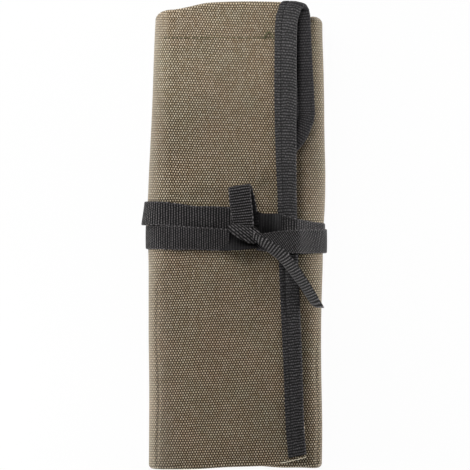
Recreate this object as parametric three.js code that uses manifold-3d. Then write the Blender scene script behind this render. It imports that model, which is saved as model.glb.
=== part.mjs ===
// A canvas tool roll, folded shut and tied. It lies on its back with the cover facing up.
// X runs across the roll, Y along it towards the top fold, Z up. All sizes are millimetres.
// The canvas folds in three: the wing folds onto the back first, then the cover folds over both.
import * as THREE from 'three';
import { mergeVertices } from 'three/addons/utils/BufferGeometryUtils.js';
import Module from 'manifold-3d';

const wasm = await Module();
wasm.setup();

// Overall size of the shut roll
const ROLL_LENGTH = 300;
const ROLL_WIDTH = 111;

// Cloth and tape thicknesses, and the clearances between layers
const CANVAS = 1.2;
const TAPE = 0.8;
const TAPE_CLEARANCE = 0.2;
const GAP = 0.3;

// Pockets: the room for a tool on the back and on the wing, and the widths from left fold to right
const BACK_ROOM = 9.5;
const WING_ROOM = 7;
const MOUTH_TO_FLAP = 16;
const BACK_POCKET_SHARES = [36, 28, 23];
const SEAM_WIDTH = 3;
const POCKET_FULLNESS = 0.5;
const MOUTH_BINDING = 8;

// Cover, flaps and wing
const COVER_SETBACK = 15.1;
const COVER_SLANT = 6;
const INNER_TOP_DROP = 10;
const FLAP_DEPTH = 93;
const FLAP_CORNER = 22;
const FLAP_OVERHANG = 10.8;
const HEM_DEPTH = 22;
const WING_TIP_CLEARANCE = 2.5;
const BINDING_WIDTH = 12.6;
const BINDING_END = 8;

// Tie: one strap sewn to the bound edge at its middle, wound round both ways and tied in a half bow
const STRAP = 1.1;
const STRAP_WIDTH = 14.4;
const UPPER_BAND_LEFT_Y = 13.1;
const UPPER_BAND_RIGHT_Y = 1.9;
const STRAP_LAP = 8.8;
const STRAP_CLIMB = 4;
const WAIST_RAMP = 10;

// Half bow
const KNOT_X = 5.5;
const KNOT_GRIP = 20;
const KNOT_RISE = 3.5;
const KNOT_NECK = 9;
const WRAP_TURN = THREE.MathUtils.degToRad(70);
const WRAP_WIDTH = 13.4;
const LOOP_ROOT_X = 5.6;
const LOOP_LENGTH = 21;
const LOOP_LEAN = THREE.MathUtils.degToRad(7);
const LOOP_TIP_RADIUS = 3;
const TAIL_ROOT_X = 16.3;
const TAIL_LENGTH = 56;
const TAIL_HEADING = THREE.MathUtils.degToRad(-49);
const TAIL_ROLL = THREE.MathUtils.degToRad(42);

// Facets of a quarter turn, and of one pocket
const ARC_STEPS = 10;
const POCKET_STEPS = 12;

// The stack of layers, from the floor up
const bindingProud = TAPE_CLEARANCE + TAPE;
const backTop = CANVAS;
const backFlapLow = backTop + GAP + BACK_ROOM;
const wingFlapLow = backFlapLow + CANVAS + 2 * bindingProud + GAP;
const wingLow = wingFlapLow + CANVAS + WING_ROOM;
const wingTop = wingLow + CANVAS;
const coverFlapLow = wingTop + GAP + 2 * bindingProud;
const coverLow = coverFlapLow + CANVAS + 2 * bindingProud + GAP;
const coverTop = coverLow + CANVAS;

// The two side folds: their outer radii and centres. The tied roll is centred on X = 0
const strapStep = STRAP + GAP;
const leftEdge = -ROLL_WIDTH / 2 - strapStep / 2;
const rightEdge = ROLL_WIDTH / 2 - strapStep / 2;
const leftRadius = coverTop / 2;
const rightRadius = wingTop / 2;
const leftCentre = new THREE.Vector2(leftEdge + leftRadius, leftRadius);
const rightCentre = new THREE.Vector2(rightEdge - rightRadius, rightRadius);

// Edges along X and Y
const coverEdge = rightEdge - COVER_SETBACK;
const wingEdge = (leftEdge + rightEdge) / 2 + WING_TIP_CLEARANCE + bindingProud;
const bottom = -ROLL_LENGTH / 2;
const coverTopY = ROLL_LENGTH / 2 - bindingProud;
const innerTopY = coverTopY - INNER_TOP_DROP;
const flapEndY = coverTopY - FLAP_DEPTH;
const flapStraight = FLAP_CORNER / 4;
const pocketMouth = flapEndY - MOUTH_TO_FLAP;

// Where the two turns of the tie cross each side
const lowerBandLeftY = UPPER_BAND_LEFT_Y - STRAP_WIDTH - GAP;
const lowerBandRightY = UPPER_BAND_RIGHT_Y - STRAP_WIDTH + STRAP_LAP;

// The tie draws the back in where it passes under it: a waist two straps deep, with a ramp on each side
const waistDepth = 2 * strapStep;
const waistHigh = UPPER_BAND_LEFT_Y + STRAP_WIDTH / 2 + GAP;
const waistLow = lowerBandRightY - STRAP_WIDTH / 2 - GAP;

const canvasCloth = { color: '#7b6d5b', roughness: 0.95 };
const blackTape = { color: '#3f3d3e', roughness: 0.85 };
const blackStrap = { color: '#343233', roughness: 0.8 };

// Solid modelling helpers

function toSolid(geometry) {
  const bare = geometry.index ? geometry.toNonIndexed() : geometry.clone();
  bare.deleteAttribute('normal');
  bare.deleteAttribute('uv');
  const merged = mergeVertices(bare, 1e-4);
  return new wasm.Manifold(new wasm.Mesh({
    numProp: 3,
    vertProperties: new Float32Array(merged.attributes.position.array),
    triVerts: new Uint32Array(merged.index.array),
  }));
}

function fromSolid(solid) {
  const mesh = solid.getMesh();
  const geometry = new THREE.BufferGeometry();
  geometry.setAttribute('position', new THREE.BufferAttribute(new Float32Array(mesh.vertProperties), 3));
  geometry.setIndex(new THREE.BufferAttribute(new Uint32Array(mesh.triVerts), 1));
  geometry.computeVertexNormals();
  return geometry;
}

const fuse = (first, ...others) => fromSolid(others.reduce((sum, g) => sum.add(toSolid(g)), toSolid(first)));

// Extrusions of a flat shape: an XZ outline along Y, and an XY outline along Z

function extrudeAlongY(shape, low, high) {
  const geometry = new THREE.ExtrudeGeometry(shape, { depth: high - low, bevelEnabled: false });
  return geometry.rotateX(Math.PI / 2).translate(0, high, 0);
}

function extrudeAlongZ(shape, low, high) {
  const geometry = new THREE.ExtrudeGeometry(shape, { depth: high - low, bevelEnabled: false });
  return geometry.translate(0, 0, low);
}

// Points of an elliptical arc about a centre, from one angle to another in degrees
function arc(centre, radiusX, radiusY, from, to, steps = ARC_STEPS) {
  return Array.from({ length: steps + 1 }, (_, i) => {
    const angle = THREE.MathUtils.degToRad(from + ((to - from) * i) / steps);
    return new THREE.Vector2(centre.x + radiusX * Math.cos(angle), centre.y + radiusY * Math.sin(angle));
  });
}

// Unit normals of a polyline in its plane, to the left of its direction
function normalsOf(line) {
  return line.map((_, i) => {
    const before = line[Math.max(i - 1, 0)];
    const after = line[Math.min(i + 1, line.length - 1)];
    const along = after.clone().sub(before).normalize();
    return new THREE.Vector2(-along.y, along.x);
  });
}

// The outline of a sheet of a given thickness that follows a centre line
function sheetOutline(line, thickness) {
  const normals = normalsOf(line);
  const upper = line.map((p, i) => p.clone().addScaledVector(normals[i], thickness / 2));
  const lower = line.map((p, i) => p.clone().addScaledVector(normals[i], -thickness / 2));
  return [...upper, ...lower.reverse()];
}

// A closed solid through rings of equal point counts. A ring runs along one side of a strip and back
// along the other, so the end caps are closed rung by rung across it
function loft(rings) {
  const count = rings[0].length;
  const triangles = [];
  for (let r = 0; r + 1 < rings.length; r++) {
    for (let i = 0; i < count; i++) {
      const a = r * count + i;
      const b = r * count + ((i + 1) % count);
      triangles.push(a, b, b + count, a, b + count, a + count);
    }
  }
  const last = (rings.length - 1) * count;
  for (let a = 0; a + 1 < count / 2; a++) {
    const b = a + 1;
    const c = count - 2 - a;
    const d = count - 1 - a;
    triangles.push(a, c, b, a, d, c);
    triangles.push(last + a, last + b, last + c, last + a, last + c, last + d);
  }
  const positions = rings.flat().flatMap((p) => [p.x, p.y, p.z]);
  const geometry = new THREE.BufferGeometry();
  geometry.setAttribute('position', new THREE.Float32BufferAttribute(positions, 3));
  geometry.setIndex(volumeOf(positions, triangles) < 0 ? triangles.reverse() : triangles);
  geometry.computeVertexNormals();
  return geometry;
}

function volumeOf(positions, triangles) {
  const at = (i) => new THREE.Vector3().fromArray(positions, 3 * i);
  let sum = 0;
  for (let t = 0; t < triangles.length; t += 3) {
    sum += at(triangles[t]).dot(at(triangles[t + 1]).cross(at(triangles[t + 2])));
  }
  return sum / 6;
}

// A section in (across, normal) carried along stations, each with a point, those two directions and a stretch
function sweep(section, stations) {
  const rings = stations.map(({ point, across, normal, stretch = 1 }) => section.map(
    (s) => point.clone().addScaledVector(across, s.x * stretch).addScaledVector(normal, s.y)));
  return loft(rings);
}

const tapeSection = (width, thickness) => [
  new THREE.Vector2(width / 2, thickness / 2), new THREE.Vector2(-width / 2, thickness / 2),
  new THREE.Vector2(-width / 2, -thickness / 2), new THREE.Vector2(width / 2, -thickness / 2)];

// Folded binding tape round a sheet's edge: the edge is at 0 and the sheet lies on the positive side
function bindingSection(width = BINDING_WIDTH) {
  const inner = CANVAS / 2 + TAPE_CLEARANCE;
  const outer = inner + TAPE;
  const points = [[width, outer], [-bindingProud, outer], [-bindingProud, -outer], [width, -outer],
    [width, -inner], [-TAPE_CLEARANCE, -inner], [-TAPE_CLEARANCE, inner], [width, inner]];
  return points.map(([x, y]) => new THREE.Vector2(x, y));
}

function piece(name, geometry, cloth) {
  const mesh = new THREE.Mesh(geometry, new THREE.MeshStandardMaterial({ ...cloth, metalness: 0 }));
  mesh.name = name;
  return mesh;
}

// Canvas panels

// How far the waist lifts the back at a given Y
function waistAt(y) {
  const out = Math.max(y - waistHigh, waistLow - y, 0);
  return waistDepth * Math.max(0, 1 - out / WAIST_RAMP);
}

// The Y stations between two ends at which the waist starts, levels off and ends
function waistStations(low, high) {
  const breaks = [waistLow - WAIST_RAMP, waistLow, waistHigh, waistHigh + WAIST_RAMP];
  return [low, ...breaks.filter((y) => y > low && y < high), high];
}

// A canvas sheet along Y whose centre line in XZ changes with Y, and one along X whose line in YZ does not
function sheetAlongY(lineAt, stations) {
  return loft(stations.map(
    (y) => sheetOutline(lineAt(y), CANVAS).map((p) => new THREE.Vector3(p.x, y, p.y))));
}

function sheetAlongX(line, low, high) {
  return loft([low, high].map(
    (x) => sheetOutline(line, CANVAS).map((p) => new THREE.Vector3(x, p.x, p.y))));
}

function backCanvas() {
  const half = CANVAS / 2;
  const lineAt = (y) => {
    const inset = waistAt(y) + half;
    const line = [
      ...arc(leftCentre, leftRadius - half, leftRadius - inset, 180, 270),
      ...arc(rightCentre, rightRadius - half, rightRadius - inset, 270, 360)];
    line[0].y -= GAP / 2;
    line[line.length - 1].y -= GAP / 2;
    return line;
  };
  return sheetAlongY(lineAt, waistStations(bottom, innerTopY - backTurn.radius - GAP));
}

// The cover's free edge runs straight above the tie and slants outwards below it
function coverEdgeAt(y) {
  return coverEdge + COVER_SLANT * Math.max(0, (waistLow - y) / (waistLow - bottom));
}

function coverCanvas() {
  const fold = arc(leftCentre, leftRadius - CANVAS / 2, leftRadius - CANVAS / 2, 180, 90);
  fold[0].y += GAP / 2;
  const lineAt = (y) => [...fold, new THREE.Vector2(coverEdgeAt(y), coverTop - CANVAS / 2)];
  const low = bottom + coverTurn.radius + GAP;
  const high = coverTopY - coverTurn.radius - GAP;
  return sheetAlongY(lineAt, [low, waistLow, high]);
}

function wingCanvas() {
  const fold = arc(rightCentre, rightRadius - CANVAS / 2, rightRadius - CANVAS / 2, 90, 0);
  fold[fold.length - 1].y += GAP / 2;
  const line = [new THREE.Vector2(wingEdge, wingTop - CANVAS / 2), ...fold];
  return sheetAlongY(() => line, [bottom, innerTopY - wingTurn.radius - GAP]);
}

// A fold over the top or bottom edge: outer radius and mid height of the turn between two layers
function turnBetween(low, high) {
  return { radius: (high - low) / 2, height: (high + low) / 2 };
}

const backTurn = turnBetween(0, backFlapLow + CANVAS);
const wingTurn = turnBetween(wingFlapLow, wingTop);
const coverTurn = turnBetween(coverFlapLow, coverTop);

// A flap or hem: a turn over the edge at edgeY, and a flat plate from there, rounded at its far corners.
// side is 1 at the top edge and -1 at the bottom one, and layer is the underside of the plate
function foldedPlate({ edgeY, side, turn, layer, depth, left, right, farRight, leftCorner, rightCorner }) {
  const nearY = edgeY - side * turn.radius;
  const farY = edgeY - side * depth;
  const quarter = layer > turn.height ? 90 : -90;
  const centre = new THREE.Vector2(nearY, turn.height);
  const reach = turn.radius - CANVAS / 2;
  const half = arc(centre, side * reach, reach, -quarter, quarter, 2 * ARC_STEPS);
  const root = half[half.length - 1].clone();
  root.x -= side * CANVAS;
  const bend = sheetAlongX([...half, root], left, right);
  const outline = [new THREE.Vector2(left, nearY), new THREE.Vector2(right, nearY)];
  if (rightCorner) {
    const hub = new THREE.Vector2((farRight ?? right) - rightCorner, farY + side * rightCorner);
    outline.push(new THREE.Vector2(right, nearY - side * flapStraight));
    outline.push(...arc(hub, rightCorner, side * rightCorner, 0, -90));
  } else {
    outline.push(new THREE.Vector2(right, farY));
  }
  if (leftCorner) {
    const hub = new THREE.Vector2(left + leftCorner, farY + side * leftCorner);
    outline.push(...arc(hub, leftCorner, side * leftCorner, -90, -180));
  } else {
    outline.push(new THREE.Vector2(left, farY));
  }
  return fuse(bend, extrudeAlongZ(new THREE.Shape(outline), layer, layer + CANVAS));
}

const flapLeft = leftCentre.x;
const coverFlapRight = coverEdge + FLAP_OVERHANG;
const coverFlapTopRight = coverEdge + FLAP_OVERHANG / 2;

const backFlap = () => foldedPlate({
  edgeY: innerTopY, side: 1, turn: backTurn, layer: backFlapLow, depth: FLAP_DEPTH - INNER_TOP_DROP,
  left: flapLeft, right: rightCentre.x });

const wingFlap = () => foldedPlate({
  edgeY: innerTopY, side: 1, turn: wingTurn, layer: wingFlapLow, depth: FLAP_DEPTH - INNER_TOP_DROP,
  left: wingEdge, right: rightCentre.x, leftCorner: FLAP_CORNER });

const coverFlap = () => foldedPlate({
  edgeY: coverTopY, side: 1, turn: coverTurn, layer: coverFlapLow, depth: FLAP_DEPTH,
  left: flapLeft, right: coverFlapTopRight, farRight: coverFlapRight, rightCorner: FLAP_CORNER });

const coverHem = () => foldedPlate({
  edgeY: bottom, side: -1, turn: coverTurn, layer: coverFlapLow, depth: HEM_DEPTH,
  left: flapLeft, right: coverEdgeAt(bottom + HEM_DEPTH) - BINDING_WIDTH - bindingProud });

// Pocket strips: the canvas folded up at the bottom, sewn down between pockets and standing proud over each

// The centre line of a pocket strip over a row of pockets. base is the sewn level, rise is up or down from it
function pocketLine(left, right, shares, base, rise) {
  const total = shares.reduce((sum, share) => sum + share, 0);
  const line = [new THREE.Vector2(left, base)];
  let x = left;
  for (const share of shares) {
    const width = ((right - left) * share) / total;
    const span = width - SEAM_WIDTH;
    for (let i = 0; i <= POCKET_STEPS; i++) {
      const u = i / POCKET_STEPS;
      const height = rise * Math.max(0, Math.sin(Math.PI * u)) ** POCKET_FULLNESS;
      line.push(new THREE.Vector2(x + SEAM_WIDTH / 2 + span * u, base + height));
    }
    x += width;
  }
  line.push(new THREE.Vector2(right, base));
  return line;
}

// The seams stand off the panel by the binding that goes round the strip's mouth
const backSewn = backTop + GAP + bindingProud + CANVAS / 2;
const wingSewn = wingLow - GAP - bindingProud - CANVAS / 2;
const backRise = backFlapLow + CANVAS / 2 - backSewn;
const wingRise = wingFlapLow + CANVAS / 2 - wingSewn;
const wingPocketLeft = wingEdge + BINDING_WIDTH + GAP;

const backPocketLine = (y) => pocketLine(
  leftCentre.x, rightCentre.x, BACK_POCKET_SHARES, backSewn + waistAt(y), backRise - waistAt(y));
const wingPocketLine = () => pocketLine(wingPocketLeft, rightCentre.x, [1], wingSewn, wingRise);

// The strip, and the bottom fold that joins it to its panel and closes the pockets
function pocketStrip(lineAt, panel, rise) {
  const line = lineAt(bottom);
  const side = Math.sign(rise);
  const normals = normalsOf(line);
  const outer = line.map((p, i) => p.clone().addScaledVector(normals[i], (side * CANVAS) / 2));
  const foot = [line[line.length - 1], line[0]].map((p) => new THREE.Vector2(p.x, panel + side * GAP));
  const end = extrudeAlongY(new THREE.Shape([...outer, ...foot]), bottom, bottom + CANVAS);
  return fuse(sheetAlongY(lineAt, waistStations(bottom, pocketMouth)), end);
}

// Bindings

const up = new THREE.Vector3(0, 0, 1);

// Along a free edge that stands at edgeAt(y) at each of the stations. The sheet lies towards side
function edgeBinding(edgeAt, side, height, stations) {
  const across = new THREE.Vector3(side, 0, 0);
  return sweep(bindingSection(), stations.map((y) => ({
    point: new THREE.Vector3(edgeAt(y), y, height), across, normal: up })));
}

// Stations along a path of points in a flat flap, with the sheet to the right of the path
function flapStations(path, height) {
  const normals = normalsOf(path);
  return path.map((p, i) => ({
    point: new THREE.Vector3(p.x, p.y, height),
    across: new THREE.Vector3(-normals[i].x, -normals[i].y, 0),
    normal: up }));
}

// Stations round the top turn at x, from the panel to its flap. The sheet lies towards side
function turnStations(x, side, turn, edgeY, from, to) {
  const centre = new THREE.Vector2(edgeY - turn.radius, turn.height);
  const reach = turn.radius - CANVAS / 2;
  return arc(centre, reach, reach, from, to).map((p) => {
    const out = new THREE.Vector3(0, p.x - centre.x, p.y - centre.y).normalize();
    const normal = out.multiplyScalar(-1);
    return { point: new THREE.Vector3(x, p.x, p.y), across: new THREE.Vector3(side, 0, 0), normal };
  });
}

// Along the wavy mouth of a pocket strip
function mouthBinding(line) {
  const normals = normalsOf(line);
  const stations = line.map((p, i) => ({
    point: new THREE.Vector3(p.x, pocketMouth, p.y),
    across: new THREE.Vector3(0, -1, 0),
    normal: new THREE.Vector3(normals[i].x, 0, normals[i].y) }));
  return sweep(bindingSection(MOUTH_BINDING), stations);
}

// The cover flap's binding goes on from the cover's bound edge, over the turn and round the flap's corner
function coverFlapBinding() {
  const hub = new THREE.Vector2(coverFlapRight - FLAP_CORNER, flapEndY + FLAP_CORNER);
  const path = [
    new THREE.Vector2(coverFlapTopRight, coverTopY - coverTurn.radius - flapStraight),
    ...arc(hub, FLAP_CORNER, FLAP_CORNER, 0, -90),
    new THREE.Vector2(flapLeft, flapEndY)];
  const turn = turnStations(coverFlapTopRight, -1, coverTurn, coverTopY, 90, -90);
  return sweep(bindingSection(), [...turn, ...flapStations(path, coverFlapLow + CANVAS / 2)]);
}

function wingFlapBinding() {
  const hub = new THREE.Vector2(wingEdge + FLAP_CORNER, flapEndY + FLAP_CORNER);
  const path = [
    new THREE.Vector2(rightCentre.x, flapEndY),
    ...arc(hub, FLAP_CORNER, FLAP_CORNER, 270, 180)];
  const turn = turnStations(wingEdge, 1, wingTurn, innerTopY, -90, 90);
  return sweep(bindingSection(), [...flapStations(path, wingFlapLow + CANVAS / 2), ...turn]);
}

function backFlapBinding() {
  const path = [new THREE.Vector2(rightCentre.x, flapEndY), new THREE.Vector2(flapLeft, flapEndY)];
  return sweep(bindingSection(), flapStations(path, backFlapLow + CANVAS / 2));
}

const coverEdgeBinding = () => edgeBinding(
  coverEdgeAt, -1, coverTop - CANVAS / 2,
  [bottom + BINDING_END, waistLow, coverTopY - coverTurn.radius - GAP]);

const wingEdgeBinding = () => edgeBinding(
  () => wingEdge, 1, wingTop - CANVAS / 2, [bottom, innerTopY - wingTurn.radius - GAP]);

// Tie strap. Each run follows a line in the XZ plane, and yAt gives the middle of the strap at each X

function strapRun(line, yAt) {
  const normals = normalsOf(line);
  const stations = line.map((p, i) => ({
    point: new THREE.Vector3(p.x, yAt(p.x), p.y), across: new THREE.Vector3(0, 1, 0),
    normal: new THREE.Vector3(normals[i].x, 0, normals[i].y) }));
  return sweep(tapeSection(STRAP_WIDTH, STRAP), stations);
}

// The middle of a band: level round each side fold, drifting once the straps have climbed over each other
const driftLeft = leftCentre.x + STRAP_CLIMB;
const driftRight = rightCentre.x;
const bandY = (leftY, rightY) => (x) => THREE.MathUtils.mapLinear(
  THREE.MathUtils.clamp(x, driftLeft, driftRight), driftLeft, driftRight, leftY, rightY);

const strapLift = GAP + STRAP / 2;
const upperBandY = bandY(UPPER_BAND_LEFT_Y, UPPER_BAND_RIGHT_Y);
const lowerBandY = bandY(lowerBandLeftY, lowerBandRightY);
const strapTopZ = coverTop + strapLift;
const bindingTopZ = coverTop + bindingProud + strapLift;
const bindingInnerX = coverEdge - BINDING_WIDTH;
const knotLeft = KNOT_X - KNOT_GRIP / 2;
const knotRight = KNOT_X + KNOT_GRIP / 2;

function leftTurnUp() {
  const line = arc(leftCentre, leftRadius + strapLift, leftRadius + strapLift, 180, 90);
  line[0].y += GAP / 2;
  return line;
}

// The strap turns over the bound edge, drops straight to the right fold and goes round to its middle.
// layer is how many straps lie beneath it
function rightTurnDown(layer) {
  const lift = strapLift + layer * strapStep;
  const boundEdge = new THREE.Vector2(coverEdge, coverTop - CANVAS / 2);
  const edgeRadius = CANVAS / 2 + bindingProud + lift;
  const foldRadius = rightRadius + lift;
  const apart = rightCentre.clone().sub(boundEdge);
  const square = apart.angle() + Math.acos((edgeRadius - foldRadius) / apart.length());
  const leave = THREE.MathUtils.euclideanModulo(THREE.MathUtils.radToDeg(square), 360);
  const turn = arc(rightCentre, foldRadius, foldRadius, leave, 0);
  turn[turn.length - 1].y += GAP / 2;
  return [...arc(boundEdge, edgeRadius, edgeRadius, 90, leave), ...turn];
}

function strapOverBinding(layer) {
  const lift = layer * strapStep;
  return [new THREE.Vector2(bindingInnerX - BINDING_END, strapTopZ + lift),
    new THREE.Vector2(bindingInnerX - STRAP, bindingTopZ + lift), ...rightTurnDown(layer)];
}

const frontUpperBand = () => strapRun(
  [...leftTurnUp(), new THREE.Vector2(driftLeft, strapTopZ), ...strapOverBinding(0)], upperBandY);

// The lower bands climb onto the upper one, which drifts down towards the knot
const lowerTopZ = strapTopZ + strapStep;

const frontLowerLeft = () => strapRun(
  [...leftTurnUp(),
    new THREE.Vector2(driftLeft, lowerTopZ),
    new THREE.Vector2(knotLeft, lowerTopZ)],
  lowerBandY);

const frontLowerRight = () => strapRun(
  [new THREE.Vector2(knotRight, lowerTopZ), ...strapOverBinding(1)], lowerBandY);

// The runs under the back lie in the waist. level 0 lies on the floor and 1 against the canvas
function backRun(leftY, rightY, level, rightLayer) {
  const middle = STRAP / 2 + level * strapStep;
  const rightX = rightRadius + strapLift + rightLayer * strapStep;
  const line = [
    ...arc(leftCentre, leftRadius + strapLift, leftRadius - middle, 180, 270),
    ...arc(rightCentre, rightX, rightRadius - middle, 270, 360)];
  line[0].y -= GAP / 2;
  line[line.length - 1].y -= GAP / 2;
  return strapRun(line, bandY(leftY, rightY));
}

const backOuterBand = () => backRun(UPPER_BAND_LEFT_Y, lowerBandRightY, 0, 1);
const backInnerBand = () => backRun(lowerBandLeftY, UPPER_BAND_RIGHT_Y, 1, 0);

// Half bow: a core that gathers the two lower bands, a wrap across it, a loop and a tail

const knotY = lowerBandY(KNOT_X);

function knotCore() {
  const line = Array.from({ length: ARC_STEPS + 1 }, (_, i) => {
    const u = i / ARC_STEPS;
    const x = THREE.MathUtils.lerp(knotLeft + 2 * GAP, knotRight - 2 * GAP, u);
    return new THREE.Vector2(x, lowerTopZ + KNOT_RISE * Math.sin(Math.PI * u));
  });
  const normals = normalsOf(line);
  const stations = line.map((p, i) => ({
    point: new THREE.Vector3(p.x, lowerBandY(p.x), p.y),
    across: new THREE.Vector3(0, 1, 0),
    normal: new THREE.Vector3(normals[i].x, 0, normals[i].y),
    stretch: THREE.MathUtils.lerp(1, KNOT_NECK / STRAP_WIDTH, Math.sin((Math.PI * i) / ARC_STEPS)) }));
  return sweep(tapeSection(STRAP_WIDTH, STRAP), stations);
}

// The wrap stands over the core like a staple, its feet clear of the core's edges
const wrapAlong = new THREE.Vector3(Math.cos(WRAP_TURN), Math.sin(WRAP_TURN), 0);
const wrapAcross = new THREE.Vector3(-Math.sin(WRAP_TURN), Math.cos(WRAP_TURN), 0);
const coreHalf = (KNOT_NECK + STRAP_WIDTH) / 4;
const wrapReach = (coreHalf + GAP + STRAP + (WRAP_WIDTH / 2) * wrapAlong.x) / wrapAlong.y;
const wrapFootZ = lowerTopZ + strapStep;
const wrapTopZ = lowerTopZ + KNOT_RISE + strapStep + GAP;

function knotWrap() {
  const steps = 2 * ARC_STEPS;
  const profile = Array.from({ length: steps + 1 }, (_, i) => {
    const angle = Math.PI * (1 - i / steps);
    const square = (value) => Math.sign(value) * Math.sqrt(Math.abs(value));
    return new THREE.Vector2(
      wrapReach * square(Math.cos(angle)),
      wrapFootZ + (wrapTopZ - wrapFootZ) * square(Math.max(0, Math.sin(angle))));
  });
  const normals = normalsOf(profile);
  const stations = profile.map((p, i) => ({
    point: new THREE.Vector3(KNOT_X, knotY, p.y).addScaledVector(wrapAlong, p.x),
    across: wrapAcross,
    normal: wrapAlong.clone().multiplyScalar(normals[i].x).setZ(normals[i].y) }));
  return sweep(tapeSection(WRAP_WIDTH, STRAP), stations);
}

// The loop leaves the knot above the upper band, turns over at its tip and comes back to the knot
function bowLoop() {
  const along = new THREE.Vector3(-Math.sin(LOOP_LEAN), Math.cos(LOOP_LEAN), 0);
  const across = new THREE.Vector3(Math.cos(LOOP_LEAN), Math.sin(LOOP_LEAN), 0);
  const wrapCornerY = knotY + (wrapReach + STRAP / 2) * wrapAlong.y + (WRAP_WIDTH / 2) * wrapAcross.y;
  const root = new THREE.Vector3(LOOP_ROOT_X, wrapCornerY + GAP + (STRAP_WIDTH / 2) * across.y, 0);
  const lowZ = lowerTopZ;
  const tip = new THREE.Vector2(LOOP_LENGTH - LOOP_TIP_RADIUS, lowZ + LOOP_TIP_RADIUS);
  const turn = arc(tip, LOOP_TIP_RADIUS, LOOP_TIP_RADIUS, -90, 90, 2 * ARC_STEPS);
  const line = [new THREE.Vector2(0, lowZ), ...turn, new THREE.Vector2(0, lowZ + strapStep)];
  const normals = normalsOf(line);
  const stations = line.map((p, i) => ({
    point: root.clone().addScaledVector(along, p.x).setZ(p.y),
    across,
    normal: along.clone().multiplyScalar(normals[i].x).setZ(normals[i].y) }));
  return sweep(tapeSection(STRAP_WIDTH, STRAP), stations);
}

// The tail stands half on edge: its lower edge rests on the core's shoulder, then comes down to the binding
function tieTail() {
  const along = new THREE.Vector3(Math.cos(TAIL_HEADING), Math.sin(TAIL_HEADING), 0);
  const level = new THREE.Vector3(-along.y, along.x, 0);
  const across = level.clone().multiplyScalar(Math.cos(TAIL_ROLL)).addScaledVector(up, Math.sin(TAIL_ROLL));
  const normal = up.clone().multiplyScalar(Math.cos(TAIL_ROLL)).addScaledVector(level, -Math.sin(TAIL_ROLL));
  const edgeDrop = (STRAP_WIDTH / 2) * Math.sin(TAIL_ROLL) + (STRAP / 2) * Math.cos(TAIL_ROLL);
  const rootZ = lowerTopZ + KNOT_RISE / 2 + STRAP / 2 + GAP + edgeDrop;
  const endZ = coverTop + bindingProud + GAP + edgeDrop;
  const root = new THREE.Vector3(TAIL_ROOT_X, lowerBandY(TAIL_ROOT_X), rootZ);
  const stations = Array.from({ length: ARC_STEPS + 1 }, (_, i) => {
    const u = i / ARC_STEPS;
    const drop = THREE.MathUtils.smoothstep(u, 0.3, 0.9) * (endZ - rootZ);
    const point = root.clone().addScaledVector(along, TAIL_LENGTH * u).addScaledVector(up, drop);
    return { point, across, normal };
  });
  return sweep(tapeSection(STRAP_WIDTH, STRAP), stations);
}

const roll = new THREE.Group();
roll.add(
  piece('back_canvas', backCanvas(), canvasCloth),
  piece('back_pocket_strip', pocketStrip(backPocketLine, backTop, backRise), canvasCloth),
  piece('back_pocket_binding', mouthBinding(backPocketLine(pocketMouth)), blackTape),
  piece('back_flap', backFlap(), canvasCloth),
  piece('back_flap_binding', backFlapBinding(), blackTape),
  piece('wing_canvas', wingCanvas(), canvasCloth),
  piece('wing_pocket_strip', pocketStrip(wingPocketLine, wingLow, wingRise), canvasCloth),
  piece('wing_pocket_binding', mouthBinding(wingPocketLine()), blackTape),
  piece('wing_flap', wingFlap(), canvasCloth),
  piece('wing_flap_binding', wingFlapBinding(), blackTape),
  piece('wing_edge_binding', wingEdgeBinding(), blackTape),
  piece('cover_canvas', coverCanvas(), canvasCloth),
  piece('cover_hem', coverHem(), canvasCloth),
  piece('cover_flap', coverFlap(), canvasCloth),
  piece('cover_edge_binding', coverEdgeBinding(), blackTape),
  piece('cover_flap_binding', coverFlapBinding(), blackTape),
  piece('tie_back_outer', backOuterBand(), blackStrap),
  piece('tie_back_inner', backInnerBand(), blackStrap),
  piece('tie_front_upper', frontUpperBand(), blackStrap),
  piece('tie_front_left', frontLowerLeft(), blackStrap),
  piece('tie_front_right', frontLowerRight(), blackStrap),
  piece('knot_core', knotCore(), blackStrap),
  piece('knot_wrap', knotWrap(), blackStrap),
  piece('bow_loop', bowLoop(), blackStrap),
  piece('tie_tail', tieTail(), blackStrap),
);

export default roll;
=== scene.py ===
"""A canvas tool roll, folded shut and tied with black ribbed webbing in a half bow.

Sizes are in millimetres in the part's own frame: X across the roll, Y up its length, Z up from the table.
"""

import math

import bmesh
import bpy
import numpy as np
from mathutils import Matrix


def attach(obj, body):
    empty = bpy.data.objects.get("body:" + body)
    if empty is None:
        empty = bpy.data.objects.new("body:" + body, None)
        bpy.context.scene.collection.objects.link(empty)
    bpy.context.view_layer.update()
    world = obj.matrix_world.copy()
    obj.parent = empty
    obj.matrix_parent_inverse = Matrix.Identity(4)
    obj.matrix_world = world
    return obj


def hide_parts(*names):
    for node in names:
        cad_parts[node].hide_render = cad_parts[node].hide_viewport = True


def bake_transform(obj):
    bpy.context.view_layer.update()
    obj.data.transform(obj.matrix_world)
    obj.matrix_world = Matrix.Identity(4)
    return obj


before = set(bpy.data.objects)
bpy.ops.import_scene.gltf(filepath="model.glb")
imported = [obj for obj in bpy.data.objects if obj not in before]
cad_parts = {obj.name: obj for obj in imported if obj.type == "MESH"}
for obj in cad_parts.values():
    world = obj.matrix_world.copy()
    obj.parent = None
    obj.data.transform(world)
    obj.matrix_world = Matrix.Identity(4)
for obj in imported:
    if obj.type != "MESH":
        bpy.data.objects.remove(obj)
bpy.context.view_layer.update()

# Thicknesses of the cloth, the edge tape and the tie, and the tie's width
CANVAS = 1.2
HALF_CANVAS = CANVAS / 2
TAPE = 0.8
STRAP = 1.1
STRAP_WIDTH = 14.4

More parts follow.
